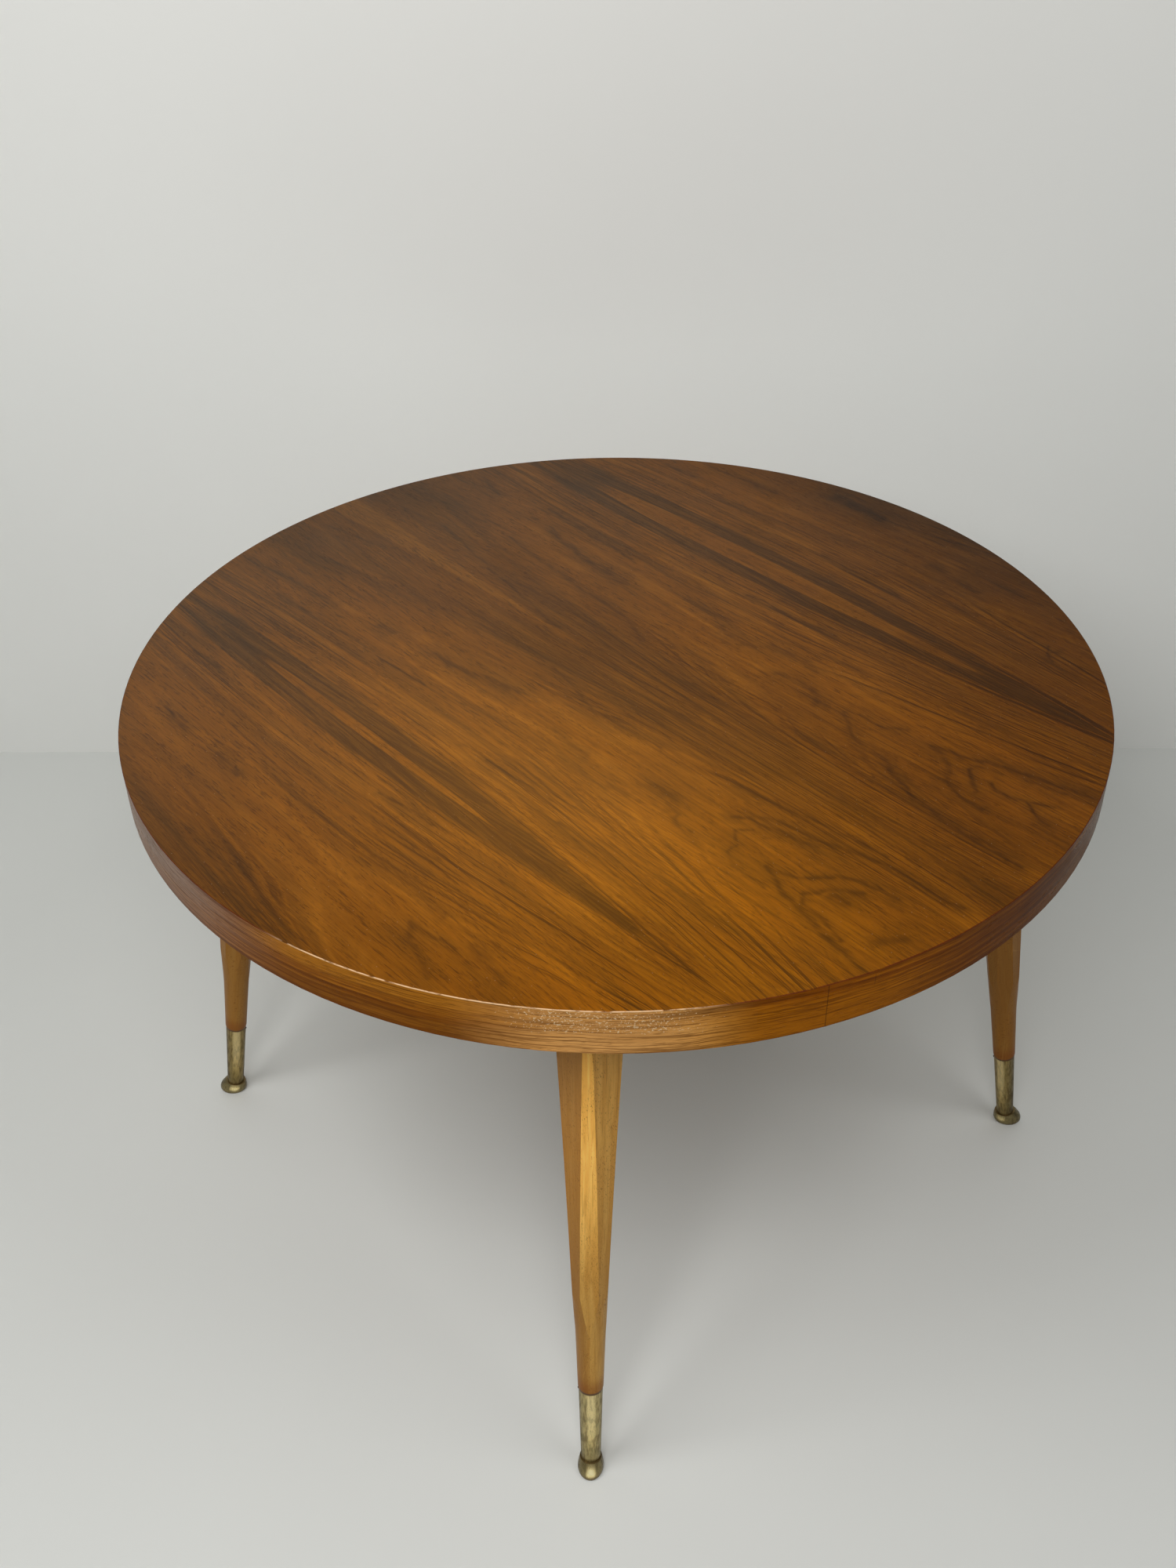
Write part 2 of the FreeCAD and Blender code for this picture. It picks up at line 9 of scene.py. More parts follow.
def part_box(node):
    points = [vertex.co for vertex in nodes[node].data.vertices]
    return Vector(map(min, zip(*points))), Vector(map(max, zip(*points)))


# Round table: book-matched walnut on the top, walnut round the edge, golden beech legs, aged brass ends.
# Metres in the room and on the object, millimetres and degrees inside the finishes.

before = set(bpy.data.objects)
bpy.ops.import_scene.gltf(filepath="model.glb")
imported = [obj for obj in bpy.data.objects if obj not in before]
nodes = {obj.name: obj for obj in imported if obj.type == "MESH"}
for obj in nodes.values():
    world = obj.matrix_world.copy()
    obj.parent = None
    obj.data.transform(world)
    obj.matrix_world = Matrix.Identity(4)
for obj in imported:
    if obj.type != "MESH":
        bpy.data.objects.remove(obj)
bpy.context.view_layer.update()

MILLIMETRES = 1000.0
CORNERS = {"rear_right": 45.0, "rear_left": 135.0, "front_left": 225.0, "front_right": 315.0}
SIDES = ("front", "right", "rear", "left")
LEAVES = ("front", "middle_front", "middle_rear", "rear")

# Sizes that the finishes follow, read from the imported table
leaf_low, leaf_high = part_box("veneer_leaf_middle_rear")
edge_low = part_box("edge_veneer_front")[0]
TOP_RADIUS = leaf_high.x * MILLIMETRES
TABLE_HEIGHT = leaf_high.z * MILLIMETRES
EDGE_FLOOR = edge_low.z * MILLIMETRES
LEAF_WIDTH = (leaf_high.y - leaf_low.y) * MILLIMETRES
OUTER_SEAM = leaf_high.y * MILLIMETRES


def leg_line(corner):
    """The middles of a leg's ferrule and of its wood, both on its axis, and its level direction outwards."""
    bearing = math.radians(CORNERS[corner])
    outward = Vector((math.cos(bearing), math.sin(bearing), 0.0))
    ferrule_low, ferrule_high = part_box(f"ferrule_{corner}")
    leg_low, leg_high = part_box(f"leg_{corner}")
    ferrule_middle = (ferrule_low + ferrule_high) / 2
    leg_middle = (leg_low + leg_high) / 2
    return ferrule_middle, leg_middle, outward


# Colours


def colour(red, green, blue):
    """A screen colour from 0 to 255 as the shader's linear colour."""
    linear = []
    for channel in (red, green, blue):
        share = channel / 255
        linear.append(share / 12.92 if share <= 0.04045 else ((share + 0.055) / 1.055) ** 2.4)
    return (*linear, 1.0)


WALNUT_LIGHT = colour(156, 96, 18)
WALNUT_MID = colour(128, 74, 5)
WALNUT_DARK = colour(92, 55, 8)
WALNUT_LINE = colour(66, 36, 5)
WALNUT_GOLD = colour(172, 122, 50)
PAINTED_REFLECTION_GREY = colour(39, 43, 40)
EDGE_LIGHT = colour(164, 104, 24)
EDGE_MID = colour(132, 75, 8)
EDGE_DARK = colour(84, 43, 4)
EDGE_REFLECTION_GREY = colour(140, 119, 104)
ARRIS_WORN_AND_HIGHLIT = colour(236, 196, 150)
ARRIS_DARK = colour(92, 34, 16)
SPECKLE = colour(232, 206, 164)
EDGE_PALE = colour(204, 150, 86)
BEECH_LIGHT = colour(246, 192, 98)
BEECH_MID = colour(224, 166, 76)
BEECH_SHADE_AND_LINES = colour(166, 108, 32)
BEECH_RED = colour(132, 66, 4)
BEECH_FLECK = colour(116, 68, 20)
FRAME_LIGHT = colour(160, 108, 60)
FRAME_DARK = colour(112, 68, 34)
BLOCK_LIGHT = colour(204, 164, 114)
BLOCK_DARK = colour(168, 122, 76)
CORE_LIGHT = colour(208, 176, 128)
CORE_DARK = colour(176, 140, 94)
BACKING_LIGHT = colour(150, 106, 70)
BACKING_DARK = colour(110, 72, 44)
RING_LIGHT = colour(158, 108, 64)
RING_DARK = colour(112, 70, 38)
BRASS_BRIGHT = colour(242, 226, 176)
BRASS_DULL = colour(204, 184, 124)
BRASS_BROWN = colour(104, 82, 44)
BRASS_GREEN = colour(150, 152, 110)
STEEL_LIGHT = colour(158, 154, 148)
STEEL_RUST = colour(112, 84, 62)
NAIL_BLACK = colour(44, 36, 30)
FLOOR_PALE = colour(226, 228, 225)
WALL_PALE = colour(248, 249, 246)
ROOM_LIGHT = colour(250, 250, 248)


# Finishes as formulas


class Value:
    """A number that changes over the surface, so that a finish reads as a formula."""

    def __init__(self, recipe, socket):
        self.recipe = recipe
        self.socket = socket

    def __add__(self, other):
        return self.recipe.math("ADD", self, other)

    __radd__ = __add__

    def __sub__(self, other):
        return self.recipe.math("SUBTRACT", self, other)

    def __rsub__(self, other):
        return self.recipe.math("SUBTRACT", other, self)

    def __mul__(self, other):
        return self.recipe.math("MULTIPLY", self, other)

    def __truediv__(self, other):
        return self.recipe.math("DIVIDE", self, other)

    def __pow__(self, other):
        return self.recipe.math("POWER", self, other)

    def size(self):
        return self.recipe.math("ABSOLUTE", self)

    def rises(self, low, high):
        """Goes smoothly from 0 at low to 1 at high."""
        step = self.recipe.node("ShaderNodeMapRange", interpolation_type="SMOOTHSTEP")
        for socket, source in zip(step.inputs, (self, low, high, 0.0, 1.0)):
            self.recipe.feed(socket, source)
        return Value(self.recipe, step.outputs[0])

    def falls(self, low, high):
        """Goes smoothly from 1 at low to 0 at high."""
        return 1 - self.rises(low, high)

    def near(self, centre, reach, soft):
        """Is 1 within reach of the centre and fades to 0 over the soft distance beyond it."""
        return (self - centre).size().falls(reach, reach + soft)


class Recipe:
    """A material or a shared group while its nodes are put in."""

    def __init__(self, tree):
        self.tree = tree

    def node(self, kind, **settings):
        made = self.tree.nodes.new(kind)
        for name, setting in settings.items():
            setattr(made, name, setting)
        return made

    def feed(self, socket, source):
        if isinstance(source, Value):
            source = source.socket
        if isinstance(source, bpy.types.NodeSocket):
            self.tree.links.new(source, socket)
        else:
            socket.default_value = source

    def math(self, operation, *sources):
        made = self.node("ShaderNodeMath", operation=operation)
        for socket, source in zip(made.inputs, sources):
            self.feed(socket, source)
        return Value(self, made.outputs[0])

    def vector(self, operation, first, second):
        """A sum on two points or directions; a dot product or a distance is a single value."""
        made = self.node("ShaderNodeVectorMath", operation=operation)
        self.feed(made.inputs[0], first)
        self.feed(made.inputs["Scale" if operation == "SCALE" else 1], second)
        if operation in ("DOT_PRODUCT", "DISTANCE"):
            return Value(self, made.outputs["Value"])
        return made.outputs["Vector"]

    def place(self):
        """The point on the surface as three values in millimetres."""
        point = self.node("ShaderNodeTexCoord").outputs["Object"]
        parts = self.node("ShaderNodeSeparateXYZ")
        self.feed(parts.inputs[0], point)
        return [Value(self, parts.outputs[axis]) * MILLIMETRES for axis in range(3)]

    def point(self, x, y, z):
        joined = self.node("ShaderNodeCombineXYZ")
        for socket, source in zip(joined.inputs, (x, y, z)):
            self.feed(socket, source)
        return joined.outputs[0]

    def noise(self, x, y, z, detail=2.0, roughness=0.5):
        """Soft cloud noise on three values, about one cloud to each unit."""
        made = self.node("ShaderNodeTexNoise")
        self.feed(made.inputs["Vector"], self.point(x, y, z))
        made.inputs["Scale"].default_value = 1.0
        made.inputs["Detail"].default_value = detail
        made.inputs["Roughness"].default_value = roughness
        return Value(self, made.outputs[0])

    def cells(self, x, y, z):
        """Distance to the nearest of many scattered points."""
        made = self.node("ShaderNodeTexVoronoi")
        self.feed(made.inputs["Vector"], self.point(x, y, z))
        made.inputs["Scale"].default_value = 1.0
        return Value(self, made.outputs["Distance"])

    def mix(self, share, below, above):
        made = self.node("ShaderNodeMix", data_type="RGBA")
        self.feed(made.inputs[0], share)
        self.feed(made.inputs[6], below)
        self.feed(made.inputs[7], above)
        return made.outputs[2]

    def shade(self, tone, factor):
        """A colour made lighter or darker by a factor."""
        return self.vector("SCALE", tone[:3] if isinstance(tone, tuple) else tone, factor)

    def group(self, tree, **sources):
        """Places a shared group and returns its outputs by name."""
        made = self.node("ShaderNodeGroup", node_tree=tree)
        for name, source in sources.items():
            self.feed(made.inputs[name.replace("_", " ").capitalize()], source)
        outputs = {}
        for output in made.outputs:
            plain = output.name.lower().replace(" ", "_")
            outputs[plain] = output if output.type == "RGBA" else Value(self, output)
        return outputs


def shared_group(name, inputs, outputs):
    """An empty shader group with number inputs and outputs, its recipe and its sockets."""
    tree = bpy.data.node_groups.new(name, "ShaderNodeTree")
    for label in inputs:
        tree.interface.new_socket(label, in_out="INPUT", socket_type="NodeSocketFloat")
    for label in outputs:
        tree.interface.new_socket(label, in_out="OUTPUT", socket_type="NodeSocketFloat")
    recipe = Recipe(tree)
    entry = recipe.node("NodeGroupInput")
    ending = recipe.node("NodeGroupOutput")
    given = [Value(recipe, entry.outputs[label]) for label in inputs]
    return tree, recipe, given, ending


def make_fibre_group():
    """Fine wood structure: silky fibre, open pores as short dashes, and a slow drift of tone."""
    tree, recipe, given, ending = shared_group(
        "wood_fibre", ("Along", "Across", "Through", "Pore length", "Pore width"), ("Fibre", "Pores", "Drift")
    )
    along, across, through, pore_length, pore_width = given
    fibre = recipe.noise(along / 34, across / 0.8, through / 0.8, detail=4.0, roughness=0.6)
    pores = recipe.noise(along / pore_length, across / pore_width, through / pore_width, detail=1.0)
    patches = recipe.noise(along / 60, across / 9, through / 9, detail=1.0)
    drift = recipe.noise(along / 170, across / 24, through / 24, detail=2.0)
    recipe.feed(ending.inputs["Fibre"], fibre)
    recipe.feed(ending.inputs["Pores"], pores.rises(0.58, 0.70) * patches.rises(0.30, 0.62))
    recipe.feed(ending.inputs["Drift"], drift)
    return tree


def make_scuff_group():
    """Wear of an old satin lacquer: fine hairline scratches, rubbed clouds and a little dust."""
    outputs = ("Scratches", "Rubbed", "Dust")
    tree, recipe, given, ending = shared_group("lacquer_wear", ("X", "Y", "Z"), outputs)
    x, y, z = given
    warp = recipe.noise(x / 90, y / 90, z / 90) * 40
    first = recipe.noise((x + warp) / 1.1, (y - warp) / 70, z / 70, detail=1.0)
    second = recipe.noise((x - y + warp) / 90, (x + y) / 1.3, z / 80, detail=1.0)
    rubbed = recipe.noise(x / 75, y / 75, z / 75, detail=4.0, roughness=0.6)
    dust = recipe.cells(x / 7, y / 7, z / 7)
    recipe.feed(ending.inputs["Scratches"], first.rises(0.70, 0.78) + second.rises(0.71, 0.79))
    recipe.feed(ending.inputs["Rubbed"], rubbed.rises(0.40, 0.66))
    recipe.feed(ending.inputs["Dust"], dust.falls(0.03, 0.07))
    return tree


# Places round the edge, as bearings: the strips meet at the joint and at the bearing opposite, a short mark
# stands beside it, and the arris is worn pale with a painted highlight and the edge speckled at the front
JOINT_BEARING = -22.0
SECOND_MARK_BEARING = -17.1
PALE_ARRIS_BEARING = -54.5
PALE_ARRIS_REACH = 18.0
SPECKLED_BEARING = -43.0
SPECKLED_REACH = 5.0


def make_rim_group():
    """Wear and a painted highlight round the rim: how worn and highlit and how dark the arris is, and the
    speckled stretch below it.
    """
    outputs = ("Bearing", "Worn", "Dark", "Speckles")
    tree, recipe, given, ending = shared_group("rim_wear", ("X", "Y", "Z"), outputs)
    x, y, z = given
    # Bearings are counted from the joint that shows, so that they jump at the joint opposite
    joint = math.radians(JOINT_BEARING)
    from_joint_x = x * math.cos(joint) + y * math.sin(joint)
    from_joint_y = y * math.cos(joint) - x * math.sin(joint)
    bearing = recipe.math("ARCTAN2", from_joint_y, from_joint_x) * math.degrees(1) + JOINT_BEARING
    radius = (x * x + y * y) ** 0.5
    depth = TABLE_HEIGHT - z
    ragged = recipe.noise(bearing / 1.4, z / 1.5, radius / 30, detail=3.0, roughness=0.65)
    at_edge = radius.rises(TOP_RADIUS - 0.75, TOP_RADIUS - 0.30) * (depth + ragged * 1.2).falls(1.0, 1.9)
    # The arris is pale at the front from wear with a painted highlight on it
    worn = bearing.near(PALE_ARRIS_BEARING, PALE_ARRIS_REACH, 7.0)
    recipe.feed(ending.inputs["Bearing"], bearing)
    recipe.feed(ending.inputs["Worn"], at_edge * worn * ragged.rises(0.32, 0.52))
    recipe.feed(ending.inputs["Dark"], at_edge * (1 - worn) * ragged.rises(0.25, 0.50))
    spots = recipe.noise(bearing / 0.24, z / 1.5, radius / 30, detail=3.0, roughness=0.6)
    stretch = bearing.near(SPECKLED_BEARING, SPECKLED_REACH, 8.0) * depth.near(11.0, 7.0, 9.0)
    speckles = (spots - (1 - stretch) * 0.16).rises(0.56, 0.63) * stretch.rises(0.02, 0.2)
    recipe.feed(ending.inputs["Speckles"], speckles)
    return tree


def make_patina_group():
    """Old brass: brown and green clouds, fine lengthwise brushing and small dark pits."""
    tree, recipe, given, ending = shared_group(
        "brass_patina", ("Along", "Across", "Through"), ("Brown", "Green", "Brushing", "Pits")
    )
    along, across, through = given
    brown = recipe.noise(along / 12, across / 2.4, through / 2.4, detail=5.0, roughness=0.65)
    green = recipe.noise(along / 9 + 7, across / 5, through / 5, detail=4.0, roughness=0.6)
    brushing = recipe.noise(along / 30, across / 0.5, through / 0.5, detail=3.0, roughness=0.6)
    pits = recipe.noise(along / 1.2, across / 0.9, through / 0.9, detail=1.0)
    recipe.feed(ending.inputs["Brown"], brown.rises(0.44, 0.62))
    recipe.feed(ending.inputs["Green"], green.rises(0.48, 0.68))
    recipe.feed(ending.inputs["Brushing"], brushing)
    recipe.feed(ending.inputs["Pits"], pits.rises(0.66, 0.74))
    return tree


FIBRE = make_fibre_group()
SCUFFS = make_scuff_group()
RIM = make_rim_group()
PATINA = make_patina_group()


def new_finish(name, specular=0.5):
    """A material with its recipe and its one glossy shader."""
    material = bpy.data.materials.new(name)
    material.use_nodes = True
    material.node_tree.nodes.clear()
    recipe = Recipe(material.node_tree)
    shader = recipe.node("ShaderNodeBsdfPrincipled")
    shader.inputs["Specular IOR Level"].default_value = specular
    output = recipe.node("ShaderNodeOutputMaterial")
    recipe.feed(output.inputs["Surface"], shader.outputs[0])
    return material, recipe, shader


def relief(recipe, shader, height, distance, strength):
    """Raises the surface by a height from 0 to 1, over a distance in metres."""
    bump = recipe.node("ShaderNodeBump")
    bump.inputs["Distance"].default_value = distance
    bump.inputs["Strength"].default_value = strength
    recipe.feed(bump.inputs["Height"], height)
    recipe.feed(shader.inputs["Normal"], bump.outputs[0])


# Face veneer

# The leaves are cut from one flitch, whose heart runs at a slant under them. A leaf shows the growth rings
# by their distance from the heart, which draws the pointed figure along its middle, the light spindle
# between two dark streaks on each outer seam and the wedge on the middle seam.
HEART_MIDDLE = 131.0
HEART_BEND = 1.5e-4
HEART_BEND_PLACE = 100.0
HEART_SLANT = 12.0
HEART_END = 420.0
HEART_SPREAD_SHARE = 0.4
LEVEL_HEART_DEPTH = 330.0
FRONT_PAIR_SHIFT = 8.0
STREAK_RING = 123.5
SPINDLE_RING = 136.9

# The light wedge on the middle seam opens from its tip towards the left end of the grain
WEDGE_TIP = -66.0
WEDGE_SLOPE = -0.046

# The golden patch on the top, also painted lighter, as shares of its own reach along and across the grain
GOLDEN_REACH = (450.0, 250.0)
GOLDEN_MIDDLE = (0.27, -0.62, 0.0)

# Dark lines of the figure: strength, half width, and the places on the face that each line runs through
FIGURE_LINES = {
    "middle_rear_nose": (
        (0.60, 3.2, ((264, 110), (284, 117), (303, 123), (322, 131), (346, 137), (374, 143), (404, 152))),
        (0.42, 4.2, ((266, 110), (286, 102), (297, 92), (302, 81))),
        (0.50, 2.2, ((302, 81), (320, 74), (344, 73))),
        (0.45, 1.8, ((300, 114), (324, 121))),
        (0.42, 2.8, ((322, 130), (346, 131), (376, 136))),
        (0.65, 2.6, ((306, 109), (314, 99), (325, 88))),
        (0.55, 2.0, ((328, 105), (335, 100), (354, 103), (379, 116))),
        (0.65, 2.5, ((361, 107), (376, 98), (391, 94))),
    ),
    "middle_rear": (
        (0.40, 2.6, ((184, 97), (197, 86), (213, 73), (240, 70), (264, 63))),
        (0.60, 2.8, ((264, 59), (286, 53), (302, 44), (340, 40), (404, 39))),
        (0.35, 2.4, ((194, 103), (222, 102), (236, 114))),
        (0.50, 3.2, ((-270, 154), (-236, 151), (-196, 148), (-134, 144))),
        (0.50, 4.8, ((-228, 123), (-196, 117), (-164, 111), (-136, 109))),
        (0.45, 8.0, ((-132, 111), (-106, 108))),
        (0.36, 3.6, ((16, 118), (28, 111), (46, 110), (62, 115))),
        (0.36, 3.8, ((68, 129), (106, 131), (124, 125))),
        (0.36, 4.4, ((104, 97), (122, 104), (138, 104), (152, 96), (160, 86))),
    ),
    "middle_front_nose": (
        (0.62, 2.8, ((281, -101), (303, -94), (313, -83), (321, -69), (338, -61), (368, -57))),
        (0.70, 3.1, ((281, -101), (302, -110), (336, -119), (370, -127), (408, -133))),
        (0.58, 3.4, ((317, -104), (325, -90), (334, -79), (347, -69))),
        (0.60, 2.5, ((317, -104), (326, -110), (348, -114), (371, -120))),
        (0.60, 6.0, ((336, -90), (346, -89))),
        (0.45, 6.0, ((399, -86), (392, -97), (389, -108))),
    ),
    "middle_front": (
        (0.60, 3.0, ((220, -75), (230, -68), (262, -62), (290, -54))),
        (0.58, 3.0, ((250, -54), (300, -44), (317, -36), (352, -33), (406, -31))),
        (0.45, 2.4, ((242, -76), (233, -87), (246, -98), (247, -108), (262, -117), (294, -119))),
        (0.36, 2.2, ((172, -101), (190, -104), (196, -113), (224, -119))),
        (0.45, 2.0, ((196, -43), (250, -37), (283, -30), (334, -25))),
        (0.55, 5.2, ((-124, -103), (-98, -103), (-70, -98), (-26, -87))),
        (0.45, 6.0, ((-198, -111), (-180, -110))),
        (0.40, 3.0, ((-310, -151), (-250, -146), (-196, -142), (-90, -142))),
        (0.36, 4.2, ((84, -123), (124, -123), (146, -116))),
        (0.42, 7.5, ((152, -92), (174, -93))),
    ),
    "outer_leaves": (
        (0.45, 2.6, ((152, -332), (172, -330), (196, -324))),
        (0.42, 3.8, ((154, -333), (162, -340), (178, -345), (206, -357))),
        (0.30, 3.8, ((72, -310), (118, -307), (164, -312))),
        (0.75, 7.5, ((-84, 392), (-44, 391), (-22, 388))),
        (0.55, 3.6, ((-78, 396), (-60, 384), (-30, 392))),
        (0.50, 1.8, ((236, 309), (242, 298), (254, 290))),
        (0.45, 1.6, ((248, 307), (240, 301), (246, 295))),
    ),
    "rear_flecks": (
        (0.60, 1.6, ((-14, 287), (34, 284), (88, 281))),
        (0.60, 1.8, ((-8, 178), (44, 180), (96, 183))),
        (0.50, 2.2, ((-263, 315), (-221, 316))),
        (0.45, 3.2, ((-225, 345), (-180, 350), (-136, 352))),
        (0.50, 2.6, ((72, 349), (90, 350))),
        (0.40, 6.0, ((106, 343), (136, 340))),
        (0.36, 3.0, ((-374, 149), (-331, 136))),
        (0.36, 2.2, ((-314, 51), (-200, 28), (-85, 8))),
        (0.34, 2.2, ((-250, 85), (-140, 72), (-50, 64), (-17, 51))),
        (0.30, 3.0, ((-42, 127), (17, 132))),
    ),
    "front_flecks": (
        (0.60, 1.8, ((12, -260), (40, -256), (72, -254))),
        (0.50, 3.2, ((-212, -323), (-170, -327))),
        (0.45, 5.0, ((-119, -327), (-85, -331))),
        (0.50, 1.7, ((34, -170), (90, -166))),
        (0.50, 1.6, ((136, -180), (204, -177))),
        (0.36, 7.0, ((204, -314), (246, -323))),
        (0.32, 2.2, ((-391, -34), (-314, -21))),
        (0.36, 2.2, ((-387, -132), (-330, -125), (-255, -119))),
        (0.30, 2.0, ((-34, -38), (40, -58), (119, -54))),
        (0.36, 3.0, ((42, -102), (85, -106))),
    ),
}


def make_line_group(name, lines):
    """Drawn lines of the figure: how dark they make a place on the face, and the soft shade beside them."""
    tree, recipe, given, ending = shared_group(f"figure_lines_{name}", ("X", "Y"), ("Lines", "Shade"))
    point = recipe.point(*given, 0.0)
    darkest = 0.0
    shade = 0.0
    for strength, half_width, places in lines:
        nearest = None
        for start, end in zip(places, places[1:]):
            run = Vector((*end, 0.0)) - Vector((*start, 0.0))
            from_start = recipe.vector("SUBTRACT", point, (*start, 0.0))
            along = recipe.vector("DOT_PRODUCT", from_start, run.normalized())
            along = recipe.math("MINIMUM", recipe.math("MAXIMUM", along, 0.0), run.length)
            away = recipe.vector("DISTANCE", from_start, recipe.vector("SCALE", run.normalized(), along))
            nearest = away if nearest is None else recipe.math("MINIMUM", nearest, away)
        darkest = recipe.math("MAXIMUM", nearest.falls(0, half_width * 1.3) * strength, darkest)
        shade = recipe.math("MAXIMUM", nearest.falls(0, half_width * 5) * strength, shade)
    recipe.feed(ending.inputs["Lines"], darkest)
    recipe.feed(ending.inputs["Shade"], shade)
    return tree


LINE_GROUPS = [make_line_group(name, lines) for name, lines in FIGURE_LINES.items()]


def face_point(recipe):
    """A point of the face: its place, its leaf, and the growth rings that the leaf shows there."""
    x, y, z = recipe.place()
    leaf = recipe.math("FLOOR", (y - OUTER_SEAM) / LEAF_WIDTH)
    across = recipe.math("PINGPONG", y - OUTER_SEAM, LEAF_WIDTH)
    front_pair = leaf.falls(-1.6, -1.4)
    cut = across + front_pair * FRONT_PAIR_SHIFT
    seed = leaf * 0.17
    lean = cut - HEART_MIDDLE + (x - HEART_BEND_PLACE) ** 2 * HEART_BEND
    spread = lean.rises(-12, 26) * lean.falls(45, 95)
    flat = lean * (1 - spread * HEART_SPREAD_SHARE)
    heart = lean.size().falls(4, 66)
    slow = recipe.noise(x / 150, cut / 48, seed, detail=1.0) - 0.5
    curl = recipe.noise(x / 34, cut / 15, seed + 3, detail=1.0, roughness=0.4) - 0.5
    ripple = recipe.noise(x / 75, cut / 12, seed + 9, detail=1.0) - 0.5
    knotty = x.rises(40, 200)
    wander = slow * (240 + heart * (300 + knotty * 500)) + curl * heart * (40 + knotty * 820)
    level_heart = lean.size().falls(0, 74) * x.falls(0, 200)
    fall = HEART_END - x
    depth = (fall + level_heart * (LEVEL_HEART_DEPTH - fall)) * HEART_SLANT + wander
    ring = (flat * flat + recipe.math("MAXIMUM", depth, 30)) ** 0.5 + ripple * 2.2
    slant = lean * (x - 60) * 0.0005
    return SimpleNamespace(
        x=x,
        y=y,
        z=z,
        leaf=leaf,
        seed=seed,
        across=across,
        cut=cut,
        slant=slant,
        ring=ring,
        heart=heart,
        level_heart=level_heart,
    )


def figure_lines(recipe, x, y, seed):
    """The drawn lines of all leaves and the shade beside them, their course a little restless."""
    sway_x = recipe.noise(x / 30, y / 14, seed + 21, detail=1.0) * 10 - 5
    sway_y = recipe.noise(x / 26, y / 16, seed + 25, detail=2.0) * 8 - 4
    lines = 0.0
    shade = 0.0
    for tree in LINE_GROUPS:
        part = recipe.group(tree, x=x + sway_x, y=y + sway_y)
        lines = recipe.math("MAXIMUM", part["lines"], lines)
        shade = recipe.math("MAXIMUM", part["shade"], shade)
    return lines, shade


def spot(x, cut, centre, reach, slope=0.0):
    """A soft long blotch at a place on a leaf, its far end raised by the slope."""
    away = ((x - centre[0]) / reach[0]) ** 2 + ((cut - centre[1] - (x - centre[0]) * slope) / reach[1]) ** 2
    return away.falls(0.05, 1.5)


